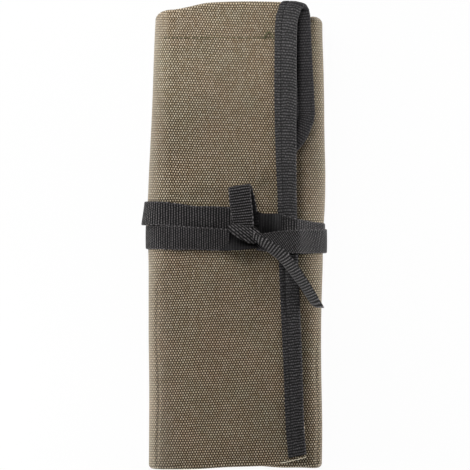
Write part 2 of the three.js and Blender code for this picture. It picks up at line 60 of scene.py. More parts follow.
# The side folds: centre X, centre Z and the radius of the middle of the cloth
LEFT_FOLD = (-40.75, 15.45, 14.85)
RIGHT_FOLD = (42.85, 11.95, 11.35)
LEFT_X = LEFT_FOLD[0]
RIGHT_X = RIGHT_FOLD[0]

# Middle heights of the layers, from the table up
BACK_Z = 0.6
WING_Z = 23.3
COVER_Z = 30.3

# Edges of the layers
COVER_EDGE = 38.6
WING_EDGE = 2.8
BOTTOM = -150.0
INNER_TOP = 139.0
FLAP_END = 56.0
COVER_FLAP_END = 48.0
COVER_FLAP_EDGE = 49.4
FLAP_CORNER = 22.0
POCKET_MOUTH = 40.0
POCKET_SHARES = (36, 28, 23)
WING_POCKET_EDGE = 15.7

# Radius of the middle of the cloth where it turns over the edge of the cover, back, wing and bottom
COVER_TURN = 1.75
BACK_TURN = 5.5
WING_TURN = 4.1
BOTTOM_TURN = 2.2

# Where the flat cloth stops for its turn: in from the cover's edges, at the inner tops, in from the bottom
COVER_IN = COVER_TURN + HALF_CANVAS
BACK_HIGH = INNER_TOP - BACK_TURN - HALF_CANVAS
WING_HIGH = INNER_TOP - WING_TURN
BOTTOM_IN = BOTTOM_TURN + HALF_CANVAS

# The seam that holds the cover flap, the creases pressed along the side folds, and the pucker beside the loop
SEAM_Y = 126.5
LEFT_CREASE = -49.4
RIGHT_CREASE = 51.2
PUCKER = (17.5, 29.5)

# About where the tie's edges run at the sides, and how far it lifts the back off the table
TIE_TOP = 20.6
TIE_BOTTOM = -11.2
WAIST = 2.8

ALONG = np.array([0.0, 1.0, 0.0])
UP = np.array([0.0, 0.0, 1.0])


def through(*pairs):
    """A smooth function through (position, value) pairs, level beyond the ends."""
    at = np.array([p[0] for p in pairs], float)
    value = np.array([p[1] for p in pairs], float)
    slope = np.gradient(value, at, axis=0)

    def curve(x):
        x = np.clip(np.asarray(x, float), at[0], at[-1])
        i = np.clip(np.searchsorted(at, x, side="right") - 1, 0, len(at) - 2)
        span = at[i + 1] - at[i]
        t = (x - at[i]) / span
        if value.ndim > 1:
            t, span = t[..., None], span[..., None]
        rise = t * t * (3 - 2 * t)
        bend = t * (1 - t) * span * ((1 - t) * slope[i] - t * slope[i + 1])
        return value[i] + rise * (value[i + 1] - value[i]) + bend

    return curve


def smooth(t):
    """Rises from 0 to 1 as t does, level at both ends."""
    t = np.clip(t, 0, 1)
    return t * t * (3 - 2 * t)


def unit(v):
    """Vectors of length 1."""
    return v / np.maximum(np.linalg.norm(v, axis=-1, keepdims=True), 1e-9)


def places(*parts):
    """Points from their coordinates, each a number or an array."""
    return np.stack(np.broadcast_arrays(*parts), axis=-1)


def distance(points):
    """How far along a line each of its points lies."""
    return np.concatenate([[0], np.cumsum(np.linalg.norm(np.diff(points, axis=0), axis=1))])


def read_at(at, way, rows):
    """Rows of values, known at distances along a line, read at other distances along it."""
    return np.stack([np.interp(at, way, rows[:, k]) for k in range(rows.shape[1])], axis=1)


def resample(points, step):
    """The points of a line, evenly spaced about one step apart."""
    points = np.asarray(points, float)
    way = distance(points)
    return read_at(np.linspace(0, way[-1], max(2, round(way[-1] / step) + 1)), way, points)


def soften(points, rounds):
    """A line with its corners eased, its ends kept."""
    points = points.copy()
    for _ in range(rounds):
        points[1:-1] = (points[:-2] + 2 * points[1:-1] + points[2:]) / 4
    return points


# Outlines of the tied roll, as it lies. The sides swell where the tools and the tie push them

cover_edge = through(
    (-150, 44.8), (-142, 44.6), (-123, 43.2), (-90, 42.2), (-42, 40.4), (-10, 39.1), (10, 38.6), (140, 38.6))
cover_veer = through((110, 0), (124, 0), (134, 0.2), (140.5, 1.1), (145, 2.8))
cover_top = through(
    (-41, 144.7), (-34, 145.6), (-26, 147.3), (-22, 148.3), (-18, 149), (-12, 149.4), (10, 149.9),
    (27, 149.5), (35, 149.2), (38.6, 148.7), (41.4, 147.5))
cover_bottom = through(
    (-41, -150), (-25, -149.8), (-5, -148.6), (14, -148), (24, -147.5), (30, -146.3), (38, -144.4),
    (46, -142.4))
inner_bottom = through(
    (-41, -150), (-12, -149.6), (4, -148.4), (18, -148.5), (28, -149.3), (43, -149.4), (56, -150))
left_swell = through(
    (-150, 0.7), (-106, 0.9), (-67, 0.5), (-12, 0.4), (-2, 0), (8, -1.2), (22, -0.1), (35, 0.5), (60, 1.8),
    (86, 3.1), (112, 3.8), (137, 4.8), (144, 5.2))
right_swell = through(
    (-150, 1.2), (-132, 1.5), (-67, 0.8), (-42, 1.0), (-13, 1.9), (-3, 1.8), (8, 2.6), (22, 3.4), (35, 3.6),
    (60, 3), (112, 2.3), (130, 1.7), (140, 1.7))


def settle(mid):
    """Moves the side folds to the lying roll's outline, from X -30 and 46 outwards."""
    x, y = mid[..., 0], mid[..., 1]
    shift = left_swell(y) * smooth((-30 - x) / 26) + right_swell(y) * smooth((x - 46) / 9)
    return places(x + shift, y, mid[..., 2])


def veered(x, share):
    """X along the cover's top edge, which veers out at the bound edge, where share is 1."""
    return x + cover_veer(144.5) * share**8


def waist(y):
    """How far the tie lifts the back off the table."""
    beyond = np.maximum(np.maximum(y - TIE_TOP, TIE_BOTTOM - y), 0)
    return WAIST * smooth(1.2 - beyond / 10)


# How the tie's pull turns the yarns: the slope of the weft, and how far the warp has moved, by Y
weft_slope = through((-150, -0.039), (-20, -0.03), (20, 0), (60, 0.025), (150, 0.03))
warp_shift = through((-150, -7.2), (-90, -4.2), (-30, -1.2), (0, 0), (20, 0), (150, 0))


def pulled(s, y):
    """Weave coordinates of the outer cloth, s across and y along, with the pull of the tie."""
    return places(s + warp_shift(y), y + weft_slope(y) * s)


def ripple(x, y):
    """The slack of the cloth over the layers below it."""
    broad = np.sin(x / 17 + y / 41) * np.sin(y / 29 - x / 60 + 1)
    fine = np.sin(x / 6.3 - y / 15 + 2) * np.sin(y / 11 + x / 23)
    return 0.28 * broad + 0.07 * fine


def crease(gap):
    """The groove and the ridge outside it that pressing leaves along a fold, gap away from the groove."""
    return 0.25 * np.exp(-(((gap + 1.7) / 0.9) ** 2)) - 0.5 * np.exp(-((gap / 0.65) ** 2))


def pucker(x, y):
    """The furrow that the knot pulls into the cover beside the loop, slanting up to the right."""
    x, y = x - PUCKER[0], y - PUCKER[1]
    across, along = (x - y) / 1.41, (x + y) / 1.41
    return -2.4 * np.exp(-((across / 4) ** 2) - (along / 7) ** 2)


# Finishes


def linear(code):
    """A colour written as sRGB hex, as linear light."""
    parts = [int(code[i : i + 2], 16) / 255 for i in (1, 3, 5)]
    return tuple(c / 12.92 if c <= 0.04045 else ((c + 0.055) / 1.055) ** 2.4 for c in parts) + (1,)


def node(tree, kind, inputs, **settings):
    """Adds a node, sets it up, and links or sets its inputs, a node by its first output."""
    made = tree.nodes.new(kind)
    for name, value in settings.items():
        setattr(made, name, value)
    for name, value in inputs.items():
        if isinstance(value, bpy.types.Node):
            value = value.outputs[0]
        if isinstance(value, bpy.types.NodeSocket):
            tree.links.new(value, made.inputs[name])
        else:
            made.inputs[name].default_value = value
    return made


def finish(name):
    """An empty material, its node tree and its shader."""
    made = bpy.data.materials.new(name)
    made.use_nodes = True
    return made, made.node_tree, made.node_tree.nodes["Principled BSDF"]


def surface(tree, shader, colour, bump, settings):
    """Gives a shader its colour, its bump and its other settings."""
    tree.links.new(colour, shader.inputs["Base Color"])
    tree.links.new(bump.outputs[0], shader.inputs["Normal"])
    for name, value in settings.items():
        shader.inputs[name].default_value = value


def woven_cotton_duck():
    """Cotton duck, plain woven of pale weft over brown warp: rows of pale dots, each row half a dot along."""
    made, tree, shader = finish("cotton_duck_plain_weave")
    # The weft shows as dots, in millimetres apart along a row and from row to row
    dot_gap, row_gap = 1.65, 1.52
    place = node(tree, "ShaderNodeUVMap", {}, uv_map="weave")
    wander = node(
        tree, "ShaderNodeTexNoise", {"Vector": place, "Scale": 1 / 14, "Detail": 2, "Roughness": 0.5})
    shift = node(
        tree, "ShaderNodeVectorMath", {0: wander.outputs["Color"], 1: (0.5, 0.5, 0.5)}, operation="SUBTRACT")
    moved = node(
        tree, "ShaderNodeVectorMath", {0: shift, 1: (1.2, 1.2, 0), 2: place}, operation="MULTIPLY_ADD")
    # Each dot has its own shade
    weave = node(
        tree, "ShaderNodeTexBrick",
        {"Vector": moved, "Scale": 1, "Brick Width": dot_gap, "Row Height": row_gap, "Mortar Size": 0,
         "Bias": 0, "Color1": linear("#e4d8c2"), "Color2": linear("#c3b297")},
        offset=0.5, offset_frequency=2)
    # Warp and weft rise and dip in turn: the pale weft shows where it rises, the brown warp between
    part = node(tree, "ShaderNodeSeparateXYZ", {0: moved})
    warp = node(
        tree, "ShaderNodeMath", {0: part.outputs["X"], 1: 2 * math.pi / dot_gap}, operation="MULTIPLY")
    warp = node(tree, "ShaderNodeMath", {0: warp}, operation="COSINE")
    weft = node(tree, "ShaderNodeMath", {0: part.outputs["Y"], 1: math.pi / row_gap}, operation="MULTIPLY")
    weft = node(tree, "ShaderNodeMath", {0: weft}, operation="SINE")
    dip = node(tree, "ShaderNodeMath", {0: warp, 1: weft}, operation="MULTIPLY")
    row = node(tree, "ShaderNodeMath", {0: weft, 1: weft}, operation="MULTIPLY")
    rise = node(tree, "ShaderNodeMath", {0: row, 1: 0.83, 2: dip}, operation="MULTIPLY_ADD")
    shown = node(
        tree, "ShaderNodeMapRange", {"Value": rise, "From Min": -0.22, "From Max": 1.84},
        interpolation_type="SMOOTHSTEP")
    # Handling has evened out the weave towards the top, to a mean share of weft
    mean = 0.33
    contrast = node(
        tree, "ShaderNodeMapRange",
        {"Value": part.outputs["Y"], "From Min": -20, "From Max": 110, "To Min": 1.34, "To Max": 0.84})
    apart = node(tree, "ShaderNodeMath", {0: shown, 1: mean}, operation="SUBTRACT")
    apart = node(tree, "ShaderNodeMath", {0: apart, 1: contrast, 2: mean}, operation="MULTIPLY_ADD")
    crossed = node(
        tree, "ShaderNodeMix", {"Factor": apart, "A": linear("#382d20"), "B": weave.outputs["Color"]},
        data_type="RGBA")
    # The side folds are rubbed and their nap raised, with a painted sheen of that nap: the weave shows less,
    # greyer
    aside = node(tree, "ShaderNodeMath", {0: part.outputs["X"]}, operation="ABSOLUTE")
    rubbed_and_sheen = node(
        tree, "ShaderNodeMapRange",
        {"Value": aside, "From Min": 41, "From Max": 56, "To Min": 0, "To Max": 0.42})
    crossed = node(
        tree, "ShaderNodeMix", {"Factor": rubbed_and_sheen, "A": crossed.outputs["Result"], "B": linear("#817b71")},
        data_type="RGBA")
    # Slubs: some weft yarns thicker and paler for a few centimetres
    along = node(tree, "ShaderNodeVectorMath", {0: moved, 1: (1 / 26, 1 / row_gap, 0)}, operation="MULTIPLY")
    slub = node(tree, "ShaderNodeTexNoise", {"Vector": along, "Scale": 1, "Detail": 2})
    cloud = node(tree, "ShaderNodeTexNoise", {"Vector": place, "Scale": 1 / 38, "Detail": 3})
    tone = node(tree, "ShaderNodeMath", {0: slub.outputs["Fac"], 1: 0.34, 2: 0.58}, operation="MULTIPLY_ADD")
    tone = node(tree, "ShaderNodeMath", {0: cloud.outputs["Fac"], 1: 0.26, 2: tone}, operation="MULTIPLY_ADD")
    # The cloth is painted a little lighter towards the top, for the light that falls there
    painted_top_light = node(
        tree, "ShaderNodeMapRange",
        {"Value": part.outputs["Y"], "From Min": 70, "From Max": 112, "To Min": 1, "To Max": 1.12},
        interpolation_type="SMOOTHSTEP")
    tone = node(tree, "ShaderNodeMath", {0: tone, 1: painted_top_light}, operation="MULTIPLY")
    # The dye drifts between a red brown and an olive over a few centimetres
    dye = node(tree, "ShaderNodeTexNoise", {"Vector": place, "Scale": 1 / 30, "Detail": 2})
    drift = node(
        tree, "ShaderNodeMix",
        {"Factor": dye.outputs["Fac"], "A": (1.14, 0.98, 0.92, 1), "B": (0.88, 0.97, 0.9, 1)},
        data_type="RGBA")
    dyed = node(
        tree, "ShaderNodeVectorMath", {0: crossed.outputs["Result"], 1: drift.outputs["Result"]},
        operation="MULTIPLY")
    colour = node(tree, "ShaderNodeVectorMath", {0: dyed, 1: tone}, operation="MULTIPLY")
    bump = node(tree, "ShaderNodeBump", {"Height": shown, "Strength": 0.4, "Distance": 0.0003})
    surface(tree, shader, colour.outputs[0], bump, {
        "Roughness": 0.95, "Specular IOR Level": 0.2, "Sheen Weight": 0.36, "Sheen Roughness": 0.5,
        "Sheen Tint": linear("#f2e9da")})
    return made


def ribbed_tape(
        name, rib, bead, gap, crest, light, dark, rough, shine=0.12, waver=0.9, fleck=1.7, selvedge_and_highlight=None,
        fold_highlight=None, grey_along=None):
    """Grosgrain: close ribs straight across the tape, each rib a row of small warp beads with a soft shine.

    rib and bead are the spacing of the ribs and of their beads, gap the light left between beads, and crest
    how narrow the light on a rib is. waver is how far the ribs stray, in radians of their wave, and fleck how
    uneven the yarn's black is, in flecks of about a millimetre. Beyond selvedge_and_highlight from the middle
    the edge is smooth and painted pale, for the plain woven edge and a painted highlight along it, and within
    fold_highlight of the middle the ribs are painted pale, a highlight on a fold. grey_along is two places
    along the tape and the grey added to the black at each.
    """
    made, tree, shader = finish(name)
    place = node(tree, "ShaderNodeUVMap", {}, uv_map="weave")
    # The wave repeats every pi / 10 of its own units, so this gives one rib every rib mm
    ribs = node(
        tree, "ShaderNodeTexWave",
        {"Vector": place, "Scale": math.pi / 10 / rib, "Distortion": waver, "Detail": 2, "Detail Scale": 1.4},
        wave_type="BANDS", bands_direction="Y", wave_profile="SIN")
    beads = node(
        tree, "ShaderNodeTexBrick",
        {"Vector": place, "Scale": 1, "Brick Width": bead, "Row Height": rib, "Mortar Size": 0.3 * bead,
         "Mortar Smooth": 1, "Bias": 0, "Color1": (1, 1, 1, 1), "Color2": (0.75, 0.75, 0.75, 1),
         "Mortar": (gap, gap, gap, 1)},
        offset=0.5, offset_frequency=2)
    raised = node(tree, "ShaderNodeMath", {0: ribs.outputs["Fac"], 1: crest}, operation="POWER")
    part = node(tree, "ShaderNodeSeparateXYZ", {0: place})
    aside = node(tree, "ShaderNodeMath", {0: part.outputs["X"]}, operation="ABSOLUTE")
    for start, width in ((selvedge_and_highlight, 0.5), (fold_highlight, -0.8)):
        if start:
            pale = node(
                tree, "ShaderNodeMapRange",
                {"Value": aside, "From Min": start, "From Max": start + width, "To Min": 0, "To Max": 0.9})
            raised = node(tree, "ShaderNodeMath", {0: raised, 1: pale}, operation="MAXIMUM")
    tint = node(
        tree, "ShaderNodeMix", {"Factor": raised, "A": linear(dark), "B": linear(light)}, data_type="RGBA")
    cloud = node(tree, "ShaderNodeTexNoise", {"Vector": place, "Scale": 1 / 12, "Detail": 3})
    grain = node(tree, "ShaderNodeTexNoise", {"Vector": place, "Scale": 1 / 1.1, "Detail": 1})
    tone = node(
        tree, "ShaderNodeMath", {0: cloud.outputs["Fac"], 1: 0.5, 2: 0.75 - fleck / 2},
        operation="MULTIPLY_ADD")
    tone = node(
        tree, "ShaderNodeMath", {0: grain.outputs["Fac"], 1: fleck, 2: tone}, operation="MULTIPLY_ADD")
    dotted = node(
        tree, "ShaderNodeVectorMath", {0: tint.outputs["Result"], 1: beads.outputs["Color"]},
        operation="MULTIPLY")
    colour = node(tree, "ShaderNodeVectorMath", {0: dotted, 1: tone}, operation="MULTIPLY")
    if grey_along:
        (start, low), (end, high) = grey_along
        grey = node(
            tree, "ShaderNodeMapRange",
            {"Value": part.outputs["Y"], "From Min": start, "From Max": end, "To Min": low, "To Max": high})
        colour = node(tree, "ShaderNodeVectorMath", {0: colour, 1: grey}, operation="ADD")
    bump = node(tree, "ShaderNodeBump", {"Height": ribs.outputs["Fac"], "Strength": 0.7, "Distance": 0.0003})
    surface(tree, shader, colour.outputs[0], bump, {"Roughness": rough, "Specular IOR Level": shine})
    return made


def spun_thread(name, light, dark):
    """Spun sewing thread or yarn: slanting strands, light on their crests and dark between."""
    made, tree, shader = finish(name)
    place = node(tree, "ShaderNodeUVMap", {}, uv_map="weave")
    # Millimetres from strand to strand
    strand = 0.5
    strands = node(
        tree, "ShaderNodeTexWave",
        {"Vector": place, "Scale": math.pi / 10 / strand, "Distortion": 0.6, "Detail": 1},
        wave_type="BANDS", bands_direction="DIAGONAL", wave_profile="SIN")
    tint = node(
        tree, "ShaderNodeMix", {"Factor": strands.outputs["Fac"], "A": linear(dark), "B": linear(light)},
        data_type="RGBA")
    bump = node(
        tree, "ShaderNodeBump", {"Height": strands.outputs["Fac"], "Strength": 0.5, "Distance": 0.0001})
    surface(tree, shader, tint.outputs["Result"], bump, {"Roughness": 0.6, "Specular IOR Level": 0.2})
    return made


canvas = woven_cotton_duck()
black_thread = spun_thread("spun_polyester_thread_black", "#1c1b1c", "#080808")
khaki_thread = spun_thread("spun_polyester_thread_khaki", "#6c6b4c", "#34341f")
pale_yarn = spun_thread("undyed_cotton_yarn", "#e8dfcc", "#b8ab92")
# The edge tape, painted lighter towards the roll's top for the light that falls there
edge_tape = ribbed_tape(
    "polyester_grosgrain_edge_tape", rib=1.8, bead=1.6, gap=0.3, crest=1.3, light="#5c5a5b", dark="#1a191a",
    rough=0.75, waver=3.6, fleck=2.4, fold_highlight=1.0, grey_along=((60, 0), (284, 0.018)))
# Its copy for the flap, painted duller and paler between the ribs, for the shade of the cover's bound edge
# over it
shaded_tape = ribbed_tape(
    "polyester_grosgrain_tape_painted_shade", rib=1.8, bead=1.6, gap=0.4, crest=1, light="#4e4c4d",
    dark="#313032", rough=0.8, waver=2.4)
# The tie, and its free end, painted lighter for the light that its tilted face catches, and greyer towards
# the cut
webbing = ribbed_tape(
    "polyester_ribbed_tie_webbing", rib=1.72, bead=1.6, gap=0.14, crest=2.7, light="#6b6869", dark="#040404",
    rough=0.65, shine=0.1, waver=1.3, selvedge_and_highlight=6.6)
tie_end_painted_light = ribbed_tape(
    "polyester_tie_webbing_painted_highlight_end", rib=1.72, bead=1.6, gap=0.2, crest=2.4, light="#7a7778",
    dark="#060606", rough=0.65, shine=0.1, waver=1.0, selvedge_and_highlight=6.6, grey_along=((12, 0), (64, 0.02)))
# The tie painted dark, with only faint ribs, for the shade in the knot, in the loop and beside it
shaded_webbing = ribbed_tape(
    "polyester_tie_webbing_painted_shade", rib=1.72, bead=1.6, gap=0.6, crest=1, light="#2a292a", dark="#0f0e0f",
    rough=0.7)


# Building in cloth


def place_mesh(name, points, faces, weave, material, rim_from=None):
    """A smooth mesh in metres with its weave map in millimetres, its faces turned outwards.

    The faces from rim_from on are a rim, which meets the others at a sharp edge.
    """
    mesh = bpy.data.meshes.new(name)
    mesh.from_pydata((np.asarray(points) * 0.001).tolist(), [], faces)
    layer = mesh.uv_layers.new(name="weave")
    corner = np.empty(len(mesh.loops), int)
    mesh.loops.foreach_get("vertex_index", corner)
    layer.uv.foreach_set("vector", np.asarray(weave, np.float32)[corner].ravel())
    build = bmesh.new()
    build.from_mesh(mesh)
    bmesh.ops.recalc_face_normals(build, faces=build.faces)
    for edge in build.edges:
        sides = [rim_from is not None and face.index >= rim_from for face in edge.link_faces]
        edge.smooth = len(set(sides)) == 1
    build.to_mesh(mesh)
    build.free()
    mesh.polygons.foreach_set("use_smooth", [True] * len(mesh.polygons))
    mesh.materials.append(material)
    made = bpy.data.objects.new(name, mesh)
    bpy.context.scene.collection.objects.link(made)
    return made


def normals_of(mid):
    """The normals of a grid of middle points."""
    return unit(np.cross(np.gradient(mid, axis=0), np.gradient(mid, axis=1)))


def measured(mid):
    """Weave coordinates from the lengths along the middle of a grid: across first, then along."""
    across = np.linalg.norm(np.diff(mid, axis=1), axis=2).mean(axis=0)
    u = np.concatenate([[0], np.cumsum(across)])
    v = distance(mid[:, mid.shape[1] // 2])
    return places(u[None, :], v[:, None])


def cloth(name, mid, thickness, material, weave=None):
    """A closed sheet round a grid of middle points, its border rounded over."""
    n, m = mid.shape[:2]
    weave = measured(mid) if weave is None else weave
    half = thickness / 2
    index = np.arange(n * m).reshape(n, m)
    border = np.concatenate([index[:-1, 0], index[-1, :-1], index[:0:-1, -1], index[0, :0:-1]])
    out = np.zeros_like(mid)
    du, dv = unit(np.gradient(mid, axis=0)), unit(np.gradient(mid, axis=1))
    out[0] -= du[0]
    out[-1] += du[-1]
    out[:, 0] -= dv[:, 0]
    out[:, -1] += dv[:, -1]
    flat, lift = mid.reshape(-1, 3), normals_of(mid).reshape(-1, 3) * half
    rim = flat[border] + unit(out.reshape(-1, 3)[border]) * half * 0.9
    points = np.concatenate([flat + lift, flat - lift, rim])
    quads = places(index[:-1, :-1], index[1:, :-1], index[1:, 1:], index[:-1, 1:]).reshape(-1, 4)
    ring = np.arange(len(border)) + 2 * n * m
    after, ring_after = np.roll(border, -1), np.roll(ring, -1)
    upper = places(border, after, ring_after, ring)
    lower = places(ring, ring_after, after + n * m, border + n * m)
    faces = np.concatenate([quads, quads[:, ::-1] + n * m, upper, lower])
    flat_weave = weave.reshape(-1, 2)
    return place_mesh(
        name, points, faces.tolist(), np.concatenate([flat_weave, flat_weave, flat_weave[border]]), material,
        rim_from=2 * len(quads))


def refinish(piece, material, chosen):
    """Gives the chosen faces of a piece, as a list of true or false, another finish."""
    piece.data.materials.append(material)
    piece.data.polygons.foreach_set("material_index", np.asarray(chosen, np.int32))


def ribbon(name, centre, across, width, material, bow=0.0, slant=0.0, close=1.0, columns=9, turn_edge=None):
    """Webbing along a line of centres. bow lifts its middle, turn_edge moves points by their share across.

    slant skews its ribs and close draws them together.
    """
    count = len(centre)
    share = np.linspace(-0.5, 0.5, columns)
    reach = np.broadcast_to(width, (count,))[:, None] * share
    lift = bow * (1 - 4 * share**2)
    side = unit(np.broadcast_to(across, centre.shape))
    normal = unit(np.cross(np.gradient(centre, axis=0), side))
    mid = centre[:, None] + side[:, None] * reach[..., None] + normal[:, None] * lift[:, None]
    if turn_edge is not None:
        mid = mid + turn_edge(share)
    weave = measured(mid)
    weave[..., 0] = share * STRAP_WIDTH
    weave[..., 1] = weave[..., 1] * close + np.broadcast_to(slant, (count,))[:, None] * weave[..., 0]
    return cloth(name, mid, STRAP, material, weave)


# Points round a turned edge, and how many there are on the cover's top edge
TURN_STEPS = 9
COVER_STEPS = 11


def turned(base, toward, normal, radius, depth, steps=TURN_STEPS, rows=12):
    """The turn over an edge and the cloth beyond it, back under the panel."""
    radius, depth = np.asarray(radius, float)[..., None], np.asarray(depth, float)[..., None]
    angle = np.linspace(0, np.pi, steps)[:, None, None]
    run = np.linspace(0, 1, rows)[1:, None, None]
    bend = base + toward * radius * np.sin(angle) - normal * radius * (1 - np.cos(angle))
    beyond = base - normal * 2 * radius - toward * depth * run
    return np.concatenate([bend, beyond])


def tubes(name, paths, radii, material, sides=6):
    """Closed thread along each path of points, all in one mesh, with a radius for each point."""
    points, faces, weave = [], [], []
    angle = np.arange(sides) / sides * 2 * math.pi
    for path in paths:
        along = unit(np.gradient(path, axis=0))
        out = unit(np.cross(along, np.where(np.abs(along[:, 2:]) > 0.9, np.array([1.0, 0, 0]), UP)))
        up = np.cross(out, along)
        round_it = out[:, None] * np.cos(angle)[:, None] + up[:, None] * np.sin(angle)[:, None]
        rows = len(path)
        index = len(points) * rows * sides + np.arange(rows * sides).reshape(rows, sides)
        after = np.roll(index, -1, axis=1)
        faces += places(index[:-1], after[:-1], after[1:], index[1:]).reshape(-1, 4).tolist()
        faces += [index[0, ::-1].tolist(), index[-1].tolist()]
        points.append((path[:, None] + round_it * np.asarray(radii)[:, None, None]).reshape(-1, 3))
        u, v = np.broadcast_arrays(angle[None, :] * 0.25, distance(path)[:, None])
        weave.append(places(u, v).reshape(-1, 2))
    return place_mesh(name, np.concatenate(points), faces, np.concatenate(weave), material)


# A stitch comes up out of the cloth, lies on it and goes down again
STITCH = 2.6
STITCH_SHARE = np.array([-0.36, -0.3, -0.15, 0, 0.15, 0.3, 0.36])
STITCH_LIFT = np.array([-0.35, -0.02, 0.12, 0.15, 0.12, -0.02, -0.35])
STITCH_RADIUS = np.array([0.12, 0.24, 0.27, 0.27, 0.27, 0.24, 0.12])

# The rows of stitches and the loose threads on each body
sewing = {"cover": [], "back": [], "wing": []}


def stitches(name, body, line, normal, thread, weight=1.0):
    """A row of stitches along a line on the face of the cloth, of thread so many times as heavy."""
    way = distance(line)
    normal = np.broadcast_to(normal, line.shape)
    paths = []
    for middle in np.arange(STITCH / 2, way[-1], STITCH):
        at = middle + STITCH_SHARE * STITCH
        out = unit(read_at(at, way, normal))
        paths.append(read_at(at, way, line) + out * STITCH_LIFT[:, None])
    sewing[body].append(tubes(name, paths, STITCH_RADIUS * weight, thread))


# How far in from the folded edge the points of a tape's leg lie, as shares of its width, and how far the
# points are pressed down: at the raw edge and along the row of stitches
LEG = np.array([1, 0.93, 0.76, 0.71, 0.66, 0.4, 0.15, 0])
PRESSED = np.array([0.22, 0.1, 0.05, 0.6, 0.05, 0, 0, 0])
SEWN = 3
TAPE_GAP = 0.15


def laid(rows, normals, width):
    """Points of a tape's leg on cloth, measured along each row from the edge, with the cloth's normals."""
    points, facing = [], []
    for row, normal, reach in zip(rows, normals, np.broadcast_to(width, (len(rows),))):
        way = distance(row)
        points.append(read_at(LEG * reach, way, row))
        facing.append(read_at(LEG * reach, way, normal))
    return np.array(points), unit(np.array(facing))


def square_to(edge, normal, width, flip):
    """Points of a tape's leg, square to a line along the edge, with the cloth's normals."""
    inward = unit(soften(unit(np.cross(normal, np.gradient(edge, axis=0))) * flip, 4))
    points = edge[:, None] + inward[:, None] * (LEG * width)[:, None]
    return points, np.broadcast_to(normal[:, None], points.shape)


def flap_edge(mid, normal, step):
    """The side and far end of a flap beyond its turn, at even steps, with the cloth's normals."""
    line = np.concatenate([mid[:, -1], mid[-1, -2::-1]])
    up = np.concatenate([normal[:, -1], normal[-1, -2::-1]])
    both = resample(np.concatenate([line, up * 0.001], axis=1), step)
    return both[:, :3], unit(both[:, 3:])


def binding(name, body, row_name, legs, normals, tape=edge_tape, weight=1.0):
    """Edge tape folded round an edge, a leg on each face of the cloth, with its row of stitches."""
    stand = HALF_CANVAS + TAPE_GAP + TAPE / 2
    rise = (stand - PRESSED)[:, None]
    turn = np.radians(np.linspace(75, -75, 7))[:, None]
    outward = unit(legs[:, -1] - legs[:, -2])
    over = legs + normals * rise
    under = legs - normals * rise
    fold = legs[:, -1:] + outward[:, None] * 0.75 * np.cos(turn) + normals[:, -1:] * stand * np.sin(turn)
    mid = np.concatenate([over, fold, under[:, ::-1]], axis=1)
    weave = measured(mid)
    weave[..., 0] -= weave[0, -1, 0] / 2
    sewn_up = normals[:, SEWN]
    stitches(row_name, body, over[:, SEWN] + sewn_up * TAPE / 2, sewn_up, black_thread, weight)
    return cloth(name, mid, TAPE, tape, weave)


# The outer cloth: cover, left fold and back in one piece, then the right fold and the wing

COVER_COLUMNS = 45
BACK_COLUMNS = 39
WING_COLUMNS = 23
ROWS = 101

# Angles round the folds, from cover to back and from back to wing, closer where a crease is pressed
left_angle = np.radians(np.concatenate([
    np.linspace(90, 116, 4), np.linspace(119, 134, 7), np.linspace(142, 270, 16)]))
right_angle = np.radians(np.concatenate([
    np.linspace(270, 394, 13), np.linspace(401, 416, 6), np.linspace(424, 450, 4)]))
LEFT_TURN = slice(COVER_COLUMNS - 1, COVER_COLUMNS + len(left_angle) - 1)
RIGHT_TURN = slice(len(right_angle))

# The folds' ends and the radii of their hems, by the angle round the fold
left_top = through((90, 144.7), (120, 144.5), (150, 143.4), (180, 141.6), (230, 139.6), (270, INNER_TOP))
right_top = through(
    (270, INNER_TOP), (330, 140.4), (360, 141.2), (400, 140.6), (430, 139.4), (450, INNER_TOP - 0.4))
left_radius = through((90, COVER_TURN), (180, 2.4), (270, BACK_TURN))
left_low_radius = through((90, COVER_TURN), (270, BOTTOM_TURN))
right_radius = through((270, BACK_TURN), (450, WING_TURN))


def boxed(y):
    """How square the right fold stands, from 0 to 1: the tie draws it round."""
    return smooth((np.abs(y - 4) - 18) / 30)


def pressed(y):
    """How square the left fold is pressed, from 0 to 1: only below the tie."""
    return smooth((-12 - y) / 30)


def round_fold(fold, angle, square=0.0):
    """A fold's cross-section, its upper half squarer as square nears 1."""
    x, z, radius = fold
    power = 2 + square * (np.sin(angle) > 0)
    reach = radius * (np.abs(np.cos(angle)) ** power + np.abs(np.sin(angle)) ** power) ** (-1 / power)
    return places(x + reach * np.cos(angle), z + reach * np.sin(angle))


def across_back(x):
    """The weave's place across on the back, counted from the cover round the left fold."""
    return 2 * LEFT_X - LEFT_FOLD[2] * math.pi - x


def every_row(values):
    """The same values in every row up the cloth."""
    return np.broadcast_to(values, (ROWS, len(values)))


